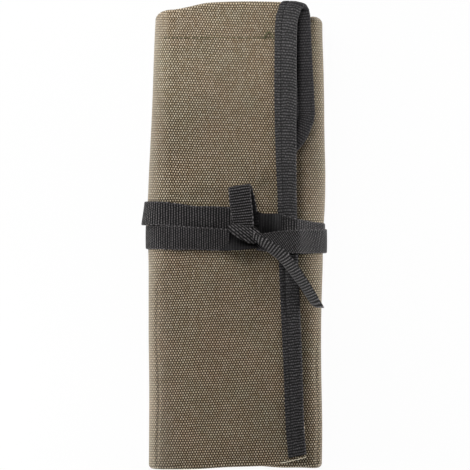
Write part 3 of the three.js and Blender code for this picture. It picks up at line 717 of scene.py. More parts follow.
def outer_cloth():
    """Middle points of the cover, left fold and back, the weave's place across at each, and the weave."""
    turn = left_angle[1:-1]
    degrees = np.degrees(turn)
    share = np.linspace(1, 0, COVER_COLUMNS)
    cover, back = np.ones(COVER_COLUMNS), np.ones(BACK_COLUMNS)
    cover_x = LEFT_X + share * (COVER_EDGE - LEFT_X)
    back_x = np.linspace(LEFT_X, RIGHT_X, BACK_COLUMNS)
    high = np.concatenate([
        cover_top(veered(cover_x, share)) - COVER_IN, left_top(degrees) - left_radius(degrees) - HALF_CANVAS,
        BACK_HIGH * back])
    low = np.concatenate([
        cover_bottom(cover_x) + COVER_IN, BOTTOM + left_low_radius(degrees) + HALF_CANVAS,
        inner_bottom(back_x) + BOTTOM_IN])
    y = low + (high - low) * np.linspace(0, 1, ROWS)[:, None]
    fold = round_fold(LEFT_FOLD, turn, pressed(y[:, COVER_COLUMNS:-BACK_COLUMNS]))
    x = np.concatenate([every_row(cover_x), fold[..., 0], every_row(back_x)], axis=1)
    z = np.concatenate([every_row(COVER_Z * cover), fold[..., 1], every_row(BACK_Z * back)], axis=1)
    # Which way the cloth faces, how far the tie lifts it, how loose it lies and how near the bound edge it is
    out_x = np.concatenate([0 * cover, np.cos(turn), 0 * back])
    out_z = np.concatenate([cover, np.sin(turn), -back])
    lifted = np.concatenate([0 * cover, np.maximum(0, -np.sin(turn)), back])
    loose = np.concatenate([cover, smooth((np.sin(turn) + 0.6) / 1.2), 0 * back])
    near = np.concatenate([share, np.zeros(len(turn)), 0 * back])
    s = np.concatenate([cover_x, LEFT_X - LEFT_FOLD[2] * (turn - math.pi / 2), across_back(back_x)])
    # The flap's seam draws the cloth in, as far as the left fold
    seam = -0.5 * np.exp(-(((y - SEAM_Y) / 1.1) ** 2)) * (s > -48)
    slack = (ripple(s, y) + seam) * loose + pucker(s, y)
    slack = slack + pressed(y) * crease(s - LEFT_CREASE + 0.4 * np.sin(y / 13))
    drift = (cover_edge(y) - COVER_EDGE) * near**2 + cover_veer(y) * near**8
    mid = settle(places(x + drift + out_x * slack, y, z + lifted * waist(y) + out_z * slack))
    # The weave's place across: X on the cover, and from its last columns on measured along the cloth
    plain = COVER_COLUMNS - 7
    gap = np.linalg.norm(np.diff(mid[:, plain - 1 :], axis=1), axis=2)
    beyond = cover_x[plain - 1] - np.cumsum(gap, axis=1)
    across = np.concatenate([cover_x[:plain] + drift[:, :plain], beyond], axis=1)
    return mid, across, pulled(across, y)


def wing_cloth():
    """Middle points of the right fold and the wing, the weave's place across at each, and the weave."""
    turn = right_angle[:-1]
    degrees = np.degrees(turn)
    wing = np.ones(WING_COLUMNS)
    wing_x = np.linspace(RIGHT_X, WING_EDGE, WING_COLUMNS)
    high = np.concatenate([right_top(degrees) - right_radius(degrees) - HALF_CANVAS, WING_HIGH * wing])
    low = inner_bottom(np.concatenate([round_fold(RIGHT_FOLD, turn)[:, 0], wing_x])) + BOTTOM_IN
    y = low + (high - low) * np.linspace(0, 1, ROWS)[:, None]
    fold = round_fold(RIGHT_FOLD, turn, boxed(y[:, :-WING_COLUMNS]))
    x = np.concatenate([fold[..., 0], every_row(wing_x)], axis=1)
    z = np.concatenate([fold[..., 1], every_row(WING_Z * wing)], axis=1)
    out_x = np.concatenate([np.cos(turn), 0 * wing])
    out_z = np.concatenate([np.sin(turn), wing])
    lifted = np.concatenate([np.maximum(0, -np.sin(turn)), 0 * wing])
    loose = np.concatenate([smooth((np.sin(turn) + 0.4) / 1.2), wing])
    s = np.concatenate([RIGHT_X + RIGHT_FOLD[2] * (2.5 * math.pi - turn), wing_x])
    slack = ripple(s + 40, y) * loose
    slack = slack + smooth((-40 - y) / 40) * crease(RIGHT_CREASE - s + 0.4 * np.sin(y / 11))
    mid = settle(places(x + out_x * slack, y, z + lifted * waist(y) + out_z * slack))
    gap = np.linalg.norm(np.diff(mid[:, RIGHT_TURN], axis=1), axis=2)
    beyond = RIGHT_X + np.cumsum(gap[:, ::-1], axis=1)[:, ::-1]
    across = np.concatenate([beyond, every_row(wing_x)], axis=1)
    return mid, across, pulled(across, y)


outer_mid, outer_across, outer_weave = outer_cloth()
outer = cloth("outer_cloth", outer_mid, CANVAS, canvas, outer_weave)
wing_mid, wing_across, wing_weave = wing_cloth()
wing = cloth("wing_cloth", wing_mid, CANVAS, canvas, wing_weave)


def carried(mid, s, start, side):
    """The weave carried on over an edge: s is its place across, start its place along at the edge."""
    run = np.cumsum(np.linalg.norm(np.diff(mid, axis=0, prepend=mid[:1]), axis=2), axis=0)
    return pulled(s[None], start[None] + side * run)


# Hems that close the ends of the side folds

FOLD_HEM = 9.0


def fold_hem(name, fold, angle, radius, edge, side, s, square=0.0):
    """A narrow turned hem round the end of a side fold. s is the weave's place across, as on the cloth."""
    degrees = np.degrees(angle)
    place = round_fold(fold, angle, square)
    radius = radius(degrees)
    start = edge(degrees) - side * (radius + HALF_CANVAS)
    lifted = np.maximum(0, -np.sin(angle))
    base = places(place[:, 0], start, place[:, 1] + lifted * waist(start))
    out = places(np.cos(angle), np.zeros_like(angle), np.sin(angle))
    mid = turned(base, side * ALONG, out, radius, FOLD_HEM, rows=6)
    return cloth(name, settle(mid), CANVAS, canvas, carried(mid, s, start, side))


def level(value):
    """The same value at every angle."""
    return lambda degrees: np.full_like(degrees, value)


def right_low(degrees):
    """The lower end of the right fold."""
    return inner_bottom(RIGHT_X + RIGHT_FOLD[2] * np.cos(np.radians(degrees)))


left_top_hem = fold_hem(
    "left_fold_top_hem", LEFT_FOLD, left_angle, left_radius, left_top, 1, outer_across[-1, LEFT_TURN])
left_low_hem = fold_hem(
    "left_fold_bottom_hem", LEFT_FOLD, left_angle, left_low_radius, level(BOTTOM), -1,
    outer_across[0, LEFT_TURN], square=1.0)
right_top_hem = fold_hem(
    "right_fold_top_hem", RIGHT_FOLD, right_angle, right_radius, right_top, 1, wing_across[-1, RIGHT_TURN],
    square=1.0)
right_low_hem = fold_hem(
    "right_fold_bottom_hem", RIGHT_FOLD, right_angle, level(BOTTOM_TURN), right_low, -1,
    wing_across[0, RIGHT_TURN], square=1.0)


# Flaps over the top edge, and the cover's bottom hem

COVER_HEM = 20.0
COVER_HEM_EDGE = 44.2

# The side of the cover flap, out past the bound edge: where its turn over the top ends, and by Y
FLAP_TURN_EDGE = 46.4
flap_side = through((78, COVER_FLAP_EDGE), (100, 48.6), (124, 47.7), (136, 47.3), (142, 46.9), (144.5, 46.3))


def corner_rise(x, edge, side, tall=1.0):
    """How far a flap's rounded corner, tall times as high as wide, lifts its end at x, inside its edge."""
    into = np.clip(side * (x - edge) + FLAP_CORNER, 0, FLAP_CORNER)
    return tall * (FLAP_CORNER - np.sqrt(np.maximum(FLAP_CORNER**2 - into**2, 0)))


def even_corner(count, edge_share):
    """Shares across a flap, closer together round its corner."""
    corner = np.sin(np.linspace(0, math.pi / 2, count))
    return np.concatenate([np.linspace(0, edge_share, count)[:-1], edge_share + (1 - edge_share) * corner])


def cover_flap_cloth():
    """From the cover's top edge down inside it, its side swinging out past the bound edge."""
    q = even_corner(20, 1 - FLAP_CORNER / (COVER_FLAP_EDGE - LEFT_X))
    x = veered(LEFT_X + q * (COVER_EDGE - LEFT_X), q)
    start = cover_top(x) - COVER_IN
    radius = COVER_TURN + 0.15 * smooth((q - 0.8) / 0.2)
    end_x = LEFT_X + q * (COVER_FLAP_EDGE - LEFT_X)
    depth = start - COVER_FLAP_END - corner_rise(end_x, COVER_FLAP_EDGE, 1, tall=1.45)
    base = places(x, start, COVER_Z + ripple(x, start))
    mid = turned(base, ALONG, UP, radius, depth, steps=COVER_STEPS, rows=30)
    over_top = (FLAP_TURN_EDGE - x[-1]) * np.linspace(0, 1, COVER_STEPS)[:, None] * q**4
    beyond = (flap_side(mid[COVER_STEPS:, :, 1]) - x[-1]) * q**2
    mid[..., 0] = x + np.concatenate([over_top, beyond])
    return settle(mid)


def back_flap_cloth():
    """From the back's top edge down over its pockets."""
    x = np.linspace(LEFT_X, RIGHT_X, 30)
    base = places(x, BACK_HIGH, BACK_Z)
    mid = turned(base, ALONG, -UP, BACK_TURN, BACK_HIGH - FLAP_END, rows=24)
    mid[TURN_STEPS:, :, 2] += ripple(mid[TURN_STEPS:, :, 0] * 1.4, mid[TURN_STEPS:, :, 1] + 20)
    return settle(mid)


def wing_flap_cloth():
    """From the wing's top edge down over its pocket."""
    q = even_corner(16, 1 - FLAP_CORNER / (RIGHT_X - WING_EDGE))
    x = RIGHT_X + q * (WING_EDGE - RIGHT_X)
    base = places(x, WING_HIGH, WING_Z)
    depth = WING_HIGH - FLAP_END - corner_rise(x, WING_EDGE, -1)
    return settle(turned(base, ALONG, UP, WING_TURN, depth, rows=24))


def cover_hem_cloth():
    """The hem folded in along the cover's bottom edge."""
    x = np.linspace(LEFT_X, COVER_HEM_EDGE, 40)
    start = cover_bottom(x) + COVER_IN
    base = places(x, start, COVER_Z + ripple(x, start))
    return settle(turned(base, -ALONG, UP, COVER_TURN, COVER_HEM, rows=8))


def turned_cloth(name, mid, side, on_back=False):
    """Cloth turned over the top edge (side 1) or the bottom edge (side -1) of its panel."""
    x, start = mid[0, :, 0], mid[0, :, 1]
    s = across_back(x) if on_back else x
    return cloth(name, mid, CANVAS, canvas, carried(mid, s, start, side))


cover_flap_mid = cover_flap_cloth()
back_flap_mid = back_flap_cloth()
wing_flap_mid = wing_flap_cloth()
cover_flap = turned_cloth("cover_flap_cloth", cover_flap_mid, 1)
back_flap = turned_cloth("back_flap_cloth", back_flap_mid, 1, on_back=True)
wing_flap = turned_cloth("wing_flap_cloth", wing_flap_mid, 1)
cover_hem = turned_cloth("cover_hem_cloth", cover_hem_cloth(), -1)


# Pocket strips, folded up from the bottom edge


def pocket_wave(x, shares, seam=3.0):
    """0 at the seams between pockets across X and 1 over the middle of each."""
    ends = x[0] + (x[-1] - x[0]) * np.concatenate([[0], np.cumsum(shares)]) / sum(shares)
    k = np.clip(np.searchsorted(ends, x, side="right") - 1, 0, len(shares) - 1)
    u = np.clip((x - ends[k] - seam / 2) / (ends[k + 1] - ends[k] - seam), 0, 1)
    return np.sin(math.pi * u) ** 0.6


def pocket_cloth(x, panel_z, up, sewn, rise, wave):
    """The turn at the bottom edge and the strip up to its mouth, full over each pocket."""
    start = inner_bottom(x) + BOTTOM_IN
    base = places(x, start, panel_z)
    mid = turned(base, -ALONG, -up, BOTTOM_TURN, POCKET_MOUTH - start, rows=50)
    full = smooth((mid[TURN_STEPS:, :, 1] - BOTTOM - 3) / 34)
    flat = panel_z + up[2] * 2 * BOTTOM_TURN
    pocket = panel_z + up[2] * (sewn + rise * wave)
    mid[TURN_STEPS:, :, 2] = flat + (pocket - flat) * full
    return mid


back_pocket_x = np.linspace(LEFT_X, RIGHT_X, 75)
wing_pocket_x = np.linspace(WING_POCKET_EDGE, RIGHT_X, 27)
back_wave = pocket_wave(back_pocket_x, POCKET_SHARES)
wing_wave = pocket_wave(wing_pocket_x, (1,))
back_pocket_mid = pocket_cloth(back_pocket_x, BACK_Z, UP, sewn=2.5, rise=8.4, wave=back_wave)
back_pocket_mid[TURN_STEPS:, :, 2] += waist(back_pocket_mid[TURN_STEPS:, :, 1]) * (1 - back_wave) * 0.9
back_pocket_mid = settle(back_pocket_mid)
wing_pocket_mid = settle(pocket_cloth(wing_pocket_x, WING_Z, -UP, sewn=2.2, rise=5.6, wave=wing_wave))
back_pocket = turned_cloth("back_pocket_cloth", back_pocket_mid, -1, on_back=True)
wing_pocket = turned_cloth("wing_pocket_cloth", wing_pocket_mid, -1)


# Edge tape

# Widths of its legs: at the cover's top, on the cover by Y, and on the other edges
TOP_LEG = 13.0
cover_leg = through(
    (-150, 10.3), (-120, 10.5), (-42, 11), (0, 11), (30, 11), (45, 11.7), (68, 12.5), (90, TOP_LEG),
    (150, TOP_LEG))
TAPE_LEG = 12.6
WING_FLAP_LEG = 12.0
POCKET_LEG = 8.0
# Columns of the cloth beside the edge, enough for a leg, and the steps along a flap's edge
LEG_COLUMNS = 12
EDGE_STEP = 1.5


def facing_up(mid, column):
    """The normals of a cloth, turned so that those of the column face up."""
    normal = normals_of(mid)
    return normal * np.sign(normal[ROWS // 2, column, 2])


def end_tape(name, body, row_name, mid, width):
    """Tape along the far edge of a flap or the mouth of a pocket strip."""
    rows = np.swapaxes(mid, 0, 1)[:, ::-1]
    return binding(name, body, row_name, *laid(rows, normals_of(rows), width))


# The cover's tape stops short of the lower corner, where cut yarns show
edge_rows = outer_mid[:, :LEG_COLUMNS].copy()
edge_rows[0] += 0.6 * (edge_rows[1] - edge_rows[0])
edge_up = facing_up(outer_mid, 0)[:, :LEG_COLUMNS]
cover_tape = binding(
    "cover_edge_tape", "cover", "cover_edge_stitches",
    *laid(edge_rows, edge_up, cover_leg(edge_rows[:, 0, 1])), weight=1.5)

flap_up = -normals_of(cover_flap_mid)
over_top = laid(
    cover_flap_mid[:COVER_STEPS, ::-1], flap_up[:COVER_STEPS, ::-1],
    np.linspace(TOP_LEG, TAPE_LEG, COVER_STEPS))
down_flap = square_to(*flap_edge(cover_flap_mid[COVER_STEPS:], flap_up[COVER_STEPS:], EDGE_STEP), TAPE_LEG, 1)
# The flap's tape is painted duller, for the shade of the cover's bound edge over it
flap_tape = binding(
    "cover_flap_tape", "cover", "cover_flap_stitches",
    *(np.concatenate(both) for both in zip(over_top, down_flap)), tape=shaded_tape, weight=1.5)

wing_up = facing_up(wing_mid, -1)
wing_tape = binding(
    "wing_edge_tape", "wing", "wing_edge_stitches",
    *laid(wing_mid[1:, :-LEG_COLUMNS:-1], wing_up[1:, :-LEG_COLUMNS:-1], TAPE_LEG))
wing_flap_tape = binding(
    "wing_flap_tape", "wing", "wing_flap_stitches",
    *square_to(*flap_edge(wing_flap_mid, normals_of(wing_flap_mid), EDGE_STEP), WING_FLAP_LEG, -1))
back_flap_tape = end_tape("back_flap_tape", "back", "back_flap_stitches", back_flap_mid, TAPE_LEG)
back_pocket_tape = end_tape(
    "back_pocket_tape", "back", "back_pocket_mouth_stitches", back_pocket_mid, POCKET_LEG)
wing_pocket_tape = end_tape(
    "wing_pocket_tape", "wing", "wing_pocket_mouth_stitches", wing_pocket_mid, POCKET_LEG)


# The seam of the cover flap, the seams between the pockets, and loose threads


def across_cover(y, left, right, count):
    """A line across the cover's face at Y."""
    x = np.linspace(left, right, count)
    columns = range(COVER_COLUMNS + 2, -1, -1)
    rows = np.array([[np.interp(y, outer_mid[:, c, 1], outer_mid[:, c, k]) for k in (0, 2)] for c in columns])
    z = np.interp(x, rows[:, 0], rows[:, 1]) + HALF_CANVAS
    return places(x, y, z)


stitches("cover_flap_seam_stitches", "cover", across_cover(SEAM_Y, -46, 25.2, 60), UP, khaki_thread)
back_pocket_up = normals_of(back_pocket_mid)
for number, end in enumerate(np.cumsum(POCKET_SHARES)[:-1] / sum(POCKET_SHARES), 1):
    column = round(end * (len(back_pocket_x) - 1))
    seam_up = back_pocket_up[12:-4, column]
    seam = back_pocket_mid[12:-4, column] + seam_up * HALF_CANVAS
    stitches(f"pocket_seam_{number}_stitches", "back", seam, seam_up, khaki_thread)

# The ends of the seam's thread, left standing at the tape
thread_z = 31 + np.array([0.3, 0.8, 1.3, 1.2, 0.5])
sewing["cover"].append(tubes("seam_thread_ends", [
    places(np.linspace(18.8, 21.4, 5), np.array([125.9, 127.6, 129.2, 130, 129.6]), thread_z),
    places(np.linspace(24.4, 21.7, 5), np.array([126.2, 127.9, 128.8, 129.4, 130.4]), thread_z)],
    np.full(5, 0.4), khaki_thread))

# The cut yarns that show along the cover's lower right corner
yarn_x = np.linspace(30, 45.5, 32)
yarn_y = cover_bottom(yarn_x) + 0.5 + 0.25 * np.sin(yarn_x * 2.3)
yarn_z = COVER_Z + 0.2 * np.sin(yarn_x * 1.7)
sewing["cover"].append(tubes(
    "cover_corner_cut_yarns", [places(yarn_x, yarn_y, yarn_z)],
    0.42 - 0.1 * np.abs(np.sin(yarn_x * 1.1)), pale_yarn))


# The tie, wound twice round the roll

upper_y = through(
    (-58, 14.1), (-46, 13.9), (-38, 12.9), (-29, 11.5), (-13, 11), (-4, 10.4), (13, 7.8), (30, 5.9),
    (42, 2.4), (50, 0.9), (59, -0.4))
lower_left_y = through((-58, -1.2), (-41, -1.5), (-29, -1.8), (-11, -2.6), (0, -3.2), (12, -3.8))
lower_right_y = through((4, -3.8), (18, -4.4), (32, -4.3), (59, -3.7))
back_outer_y = through((-58, 14.1), (-41, 13.1), (43, -3.9), (59, -3.7))
back_inner_y = through((-58, -1.2), (-41, -1.6), (43, 1.9), (59, -0.4))

# The middle of a strap over the face that it lies on, from one layer to the next, and over the cover
STRAP_LIFT = 0.3 + STRAP / 2
STRAP_STEP = 1.4
STRAP_Z = COVER_Z + HALF_CANVAS + STRAP_LIFT
# Radii of the faces that it runs round: the side folds and the bound edge
LEFT_FACE = LEFT_FOLD[2] + HALF_CANVAS
RIGHT_FACE = RIGHT_FOLD[2] + HALF_CANVAS
BOUND_FACE = 1.6
# Middle heights of the two runs under the back
UNDER_LOW = 0.55
UNDER_HIGH = 1.95


def around(centre_x, centre_z, reach_x, reach_z, start, stop, steps=16):
    """An arc in X and Z."""
    angle = np.radians(np.linspace(start, stop, steps))
    return places(centre_x + reach_x * np.cos(angle), centre_z + reach_z * np.sin(angle))


def over_binding(layer):
    """Up over the bound edge, straight down to the right fold and round to its middle."""
    step = STRAP_STEP * layer
    climb = np.array([[18.0, STRAP_Z + step], [25.0, STRAP_Z + 1 + step]])
    edge, fold = np.array([COVER_EDGE, COVER_Z]), np.array(RIGHT_FOLD[:2])
    near, far = BOUND_FACE + STRAP_LIFT + step, RIGHT_FACE + STRAP_LIFT + step
    apart = fold - edge
    leave = math.degrees(math.atan2(apart[1], apart[0]) + math.acos((near - far) / np.linalg.norm(apart)))
    return np.concatenate([climb, around(*edge, near, near, 90, leave, 8), around(*fold, far, far, leave, 0)])


def left_wrap(under_z):
    """From under the left fold's middle round to the cover."""
    reach = LEFT_FACE + STRAP_LIFT
    return np.concatenate([
        around(*LEFT_FOLD[:2], reach, LEFT_FACE - under_z, 225, 180, 8)[:-1],
        around(*LEFT_FOLD[:2], reach, reach, 180, 90)])


def back_line(under_z, layer):
    """From under the left fold's middle across the back to the right fold's."""
    reach = RIGHT_FACE + STRAP_LIFT + STRAP_STEP * layer
    return np.concatenate([
        around(*LEFT_FOLD[:2], LEFT_FACE + STRAP_LIFT, LEFT_FACE - under_z, 225, 270),
        around(*RIGHT_FOLD[:2], reach, RIGHT_FACE - under_z, 270, 360)])


def strap(name, line, y_at, width=STRAP_WIDTH, bow=0.12, tip=None, flare=None, slant=None, close=1.0):
    """A run of the tie. At X, tip leans it by degrees, upper edge up, and flare stands its lower edge off."""
    line = soften(resample(line, 1.4), 3)
    x = line[:, 0]
    centre = settle(places(x, y_at(x), line[:, 1]))
    width = width(x) if callable(width) else np.full(len(line), width)
    width = width + 0.25 * np.sin(x / 7 + 1) + 0.15 * np.sin(x / 3.1)
    lean = np.zeros(len(x)) if tip is None else np.radians(tip(x))
    across = places(np.zeros(len(x)), np.cos(lean), np.sin(lean))
    centre[:, 2] += np.abs(np.sin(lean)) * width * 0.42
    off = unit((centre - np.array([LEFT_X, 0, LEFT_FOLD[1]])) * np.array([1, 0, 1]))
    off = off * (0 if flare is None else flare(x)[:, None])

    def stand_off(share):
        return off[:, None] * ((0.5 - share) ** 1.3)[:, None]

    slant = 0 if slant is None else slant(x)
    return ribbon(
        name, centre, across, width, webbing, bow=bow, slant=slant, close=close, turn_edge=stand_off)


upper_line = np.concatenate([[[LEFT_X, STRAP_Z]], over_binding(0)])
upper_front = strap(
    "tie_upper_front", upper_line, upper_y,
    tip=through(
        (-41, 0), (-30, 0), (-12, 7), (-5, 3), (2, 0), (8, 0), (14, 3), (17, 24), (24, 22), (29, 2), (31, 0),
        (60, 0)))
# Right of the knot the strap is twisted, and painted dark there for the shade beside the loop
upper_x = np.array([face.center[0] for face in upper_front.data.polygons]) * 1000
refinish(upper_front, shaded_webbing, (upper_x > 4) & (upper_x < 30.8))
lower_left = strap(
    "tie_lower_front_left",
    [[LEFT_X, STRAP_Z], [LEFT_X + 7, STRAP_Z + 0.4], [-12, STRAP_Z + 0.4], [-4.2, STRAP_Z + 0.8]],
    lower_left_y, width=through((-41, 14.6), (-34, 14.3), (-14, 13.9), (-4, 13)),
    tip=through((-41, 0), (-34, 6), (-4, 7)), close=1.15)
lower_right = strap(
    "tie_lower_front_right",
    np.concatenate([[[14, STRAP_Z + 1.8], [19, STRAP_Z + STRAP_STEP + 0.1]], over_binding(1)[1:]]),
    lower_right_y, width=through((4, 9.5), (16, 10.5), (28, 14), (40, 14.6)),
    tip=through((10, -6), (18, -14), (28, -14), (36, -10), (44, -9), (50, -3), (54, 0), (60, 0)),
    slant=through((10, 0.9), (30, 0.8), (44, 0.6), (52, 0.2), (60, 0)), close=1.25)
upper_fold = strap(
    "tie_upper_left_turn", left_wrap(UNDER_LOW), upper_y, flare=through((-57, 2), (-54, 1.7), (-44, 0)))
lower_fold = strap("tie_lower_left_turn", left_wrap(UNDER_HIGH), lower_left_y, close=1.15)
back_outer = strap("tie_back_outer_run", back_line(UNDER_LOW, 1), back_outer_y, bow=0)
back_inner = strap("tie_back_inner_run", back_line(UNDER_HIGH, 0), back_inner_y, bow=0)

# The box of stitches that holds the tie to the bound edge: its sides in X, and in Y over the strap's middle
BOX_X = (31.6, 38.4)
BOX_Y = (1.2, 6.2)

box_x = np.linspace(*BOX_X, 8)
box_sides = [places(box_x, upper_y(box_x) + rise) for rise in BOX_Y]
box_sides += [places(np.full(6, x), upper_y(x) + np.linspace(*BOX_Y, 6)) for x in BOX_X]
eased_line = soften(resample(upper_line, 1.4), 3)
for number, side in enumerate(box_sides, 1):
    side_z = np.interp(side[:, 0], eased_line[:, 0], eased_line[:, 1]) + STRAP / 2 + 0.05
    stitches(
        f"tie_box_stitches_{number}", "cover", np.column_stack([side, side_z]), UP, black_thread, 1.3)


# The half bow: the wrap over the bands, the loop and the tail

LOOP_ROOT = np.array([5.6, 10.81, 35.2])
LOOP_LEAN = math.radians(7)
loop_along = np.array([-math.sin(LOOP_LEAN), math.cos(LOOP_LEAN), 0])
loop_across = np.array([math.cos(LOOP_LEAN), math.sin(LOOP_LEAN), 0])


def knot_wrap():
    """The strap drawn over the knot: a crest slanting down to the right, its lower side curled under."""
    a = np.linspace(0, 1, 25)
    lower = through(
        (0, (-4.6, 4.2, 35.4)), (0.18, (-1.8, 2.2, 37.2)), (0.5, (4.4, -1.6, 38.8)),
        (0.75, (8.6, -3.7, 38.8)), (1, (12.8, -4.6, 37.4)))(a)
    upper = through(
        (0, (-3, 6.8, 34.6)), (0.18, (1, 7.8, 35)), (0.5, (9, 7, 35.4)), (0.75, (13.6, 4.4, 35.8)),
        (1, (17, -0.4, 36.2)))(a)
    b = np.linspace(0, 1, 15)[:, None, None]
    face = lower + (upper - lower) * b + UP * 1.3 * np.sin(math.pi * b**0.7)
    tuck = np.radians(np.linspace(180, 20, 7))[:, None, None]
    away = unit((lower - upper) * np.array([1, 1, 0]))
    curl = lower - UP * 1.4 * (1 + np.cos(tuck)) + away * 0.7 * np.sin(tuck)
    mid = np.concatenate([curl[::-1], face])
    # The ribs run along the slant of the crest
    slant = math.radians(38)
    weave = places(
        mid[..., 0] * math.cos(slant) - mid[..., 1] * math.sin(slant),
        mid[..., 0] * math.sin(slant) + mid[..., 1] * math.cos(slant))
    weave = weave - weave.mean(axis=(0, 1))
    return cloth("knot_wrap_strap", mid, STRAP, webbing, weave * np.array([0.5, 1.2]))


def knot_core():
    """The upper ply of the band, drawn into the knot, its lower edge standing up off the cover."""
    x = np.linspace(-10, 20, 31)
    y = through((-10, -2.8), (-3, -3), (4, -3), (12, -2.7), (20, -3.4))(x)
    z = STRAP_Z + through((-10, 0.2), (-4, 0), (0, 0), (14, 0), (20, 0.2))(x)
    width = through((-10, 13.4), (-3, 12.8), (4, 11.8), (8, 11.2), (12, 10.6), (20, 9.4))(x)
    stand = through((-10, 0), (-6, 1.6), (0, 5.4), (6, 7), (12, 5.6), (17, 1.4), (20, 0))(x)

    def scoop(share):
        lower = np.clip((0.02 - share) / 0.52, 0, 1) ** 1.7
        return UP * (stand[:, None] * lower)[..., None]

    # The core is painted dark, for the shade in the hollow under the wrap
    return ribbon(
        "knot_core_strap", places(x, y, z), ALONG, width, shaded_webbing, columns=13, turn_edge=scoop)


def bow_loop():
    """Out along the upper band, over at the tip and back into the knot, the under ply a bit to the right."""
    path = np.concatenate([
        [[-5.5, 33.6], [0, 33.4], [10, 33.3], [17.5, 33.4]], around(18, 36.2, 2.9, 2.8, -80, 80, 12),
        [[17.5, 38.9], [10, 38.6], [3, 37.6], [-2, 36.6], [-5.5, 35.7]]])
    path = soften(resample(path, 1.0), 3)
    s = np.linspace(0, 1, len(path))[:, None]
    aside = through((0, 2), (0.35, 1), (0.5, -0.1), (0.62, -0.6), (0.8, -0.8), (1, -0.6))(s)
    turn = through((0, 0.0), (0.5, 0.03), (0.8, 0.0), (1, -0.12))(s)
    lean = through((0, 0), (0.6, 0.05), (0.85, 0.1), (1, 0.3))(s)
    width = through((0, 14), (0.4, 13.8), (0.6, 13.4), (0.9, 13), (1, 12.4))(s[:, 0])
    root = LOOP_ROOT * np.array([1, 1, 0])
    centre = root + loop_along * path[:, :1] + UP * path[:, 1:] + loop_across * aside
    across = loop_across + turn * loop_along + lean * UP
    columns = 11
    made = ribbon("bow_loop_strap", centre, across, width, webbing, bow=0.35, columns=columns)
    # The faces come in order: the strap's outer side, its inner side, its rim
    count = (len(path) - 1) * (columns - 1)
    face = np.arange(len(made.data.polygons))
    # The loop's inner side is painted dark, for the shade under it
    refinish(made, shaded_webbing, (face >= count) & (face < 2 * count))
    return made


def tie_tail():
    """The free end, standing on edge as it leaves the knot and leaning over the bound edge."""
    line = np.array([
        [11.5, -1.2, 37.4], [14.5, -2.6, 38.2], [18, -4.6, 39.2], [24, -8.6, 39.4], [30.2, -13.1, 38.9],
        [37.4, -22, 37.4], [45.2, -33.2, 35.6], [52.4, -44.8, 34]])
    line = soften(resample(line, 1.2), 6)
    s = np.linspace(0, 1, len(line))
    bearing = np.radians(through((0, 52), (0.25, 48), (0.5, 32), (1, 24))(s))
    shown = through((0, 0.42), (0.12, 0.5), (0.3, 0.64), (0.55, 0.6), (0.8, 0.54), (1, 0.5))(s)
    across = places(shown * np.cos(bearing), shown * np.sin(bearing), np.sqrt(1 - shown**2))
    along = unit(np.gradient(line, axis=0))
    across = unit(across - along * np.sum(across * along, axis=1, keepdims=True))
    under = np.cross(along, across)
    under = under * -np.sign(under[:, 2:])
    share = np.linspace(-0.5, 0.5, 21)
    # The lower side is folded under along its length, from this share across, round a bend of 1.4 mm
    fold_share, fold_radius = -0.2, 1.4
    flat = share - fold_share
    bend = np.maximum(0, -flat) * STRAP_WIDTH / fold_radius
    reach = np.where(flat < 0, -fold_radius * np.sin(bend), flat * STRAP_WIDTH) - 4.3
    hollow = 0.9 * np.sin(np.pi * np.clip(flat / 0.7, 0, 1))
    deep = np.where(flat < 0, fold_radius * (1 - np.cos(bend)), 0) - hollow
    mid = line[:, None] + across[:, None] * reach[:, None] + under[:, None] * deep[:, None]
    # The end is cut on a slant
    mid[-3:] += along[-1] * (0.35 * share * STRAP_WIDTH)[:, None] * np.array([0.33, 0.67, 1])[:, None, None]
    # The smooth edge of the weave falls on the fold
    weave = measured(mid) * 0.93
    weave[..., 0] = share * STRAP_WIDTH - 4
    return cloth("tie_tail_strap", mid, STRAP, tie_end_painted_light, weave)


wrap = knot_wrap()
core = knot_core()
loop = bow_loop()
tail = tie_tail()


# Where each piece rides, and the nodes that it stands for. These places are in metres

for piece in (outer, left_top_hem, left_low_hem, upper_fold, lower_fold):
    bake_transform(piece)
for piece in (wing, right_top_hem, right_low_hem):
    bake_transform(piece)
riders = {
    "cover": (cover_flap, cover_hem, cover_tape, flap_tape, upper_front, lower_left, lower_right, wrap, core),
    "back": (back_flap, back_pocket, back_flap_tape, back_pocket_tape, back_outer, back_inner),
    "wing": (wing_flap, wing_pocket, wing_tape, wing_flap_tape, wing_pocket_tape),
}
for body, pieces in riders.items():
    for piece in (*pieces, *sewing[body]):
        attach(piece, body)
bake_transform(loop)
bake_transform(tail)

stands_for = {
    "canvas": (
        (outer, "cover_canvas", "back_canvas"), (wing, "wing_canvas"), (cover_flap, "cover_flap"),
        (back_flap, "back_flap"), (wing_flap, "wing_flap"), (cover_hem, "cover_hem"),
        (back_pocket, "back_pocket_strip"), (wing_pocket, "wing_pocket_strip"), (left_top_hem,),
        (left_low_hem,), (right_top_hem,), (right_low_hem,)),
    "edge_tape": (
        (cover_tape, "cover_edge_binding"), (flap_tape, "cover_flap_binding"),
        (wing_tape, "wing_edge_binding"), (wing_flap_tape, "wing_flap_binding"),
        (back_flap_tape, "back_flap_binding"), (back_pocket_tape, "back_pocket_binding"),
        (wing_pocket_tape, "wing_pocket_binding")),
    "tie_webbing": (
        (upper_front, "tie_front_upper"), (lower_left, "tie_front_left"), (lower_right, "tie_front_right"),
        (upper_fold,), (lower_fold,), (back_outer, "tie_back_outer"), (back_inner, "tie_back_inner"),
        (wrap, "knot_wrap"), (core, "knot_core"), (loop, "bow_loop"), (tail, "tie_tail")),
}
for slot, pieces in stands_for.items():
    for piece, *nodes in pieces:
        if nodes:
            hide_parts(*nodes)


# Studio, in metres: white table, soft light from above the top end, camera straight down


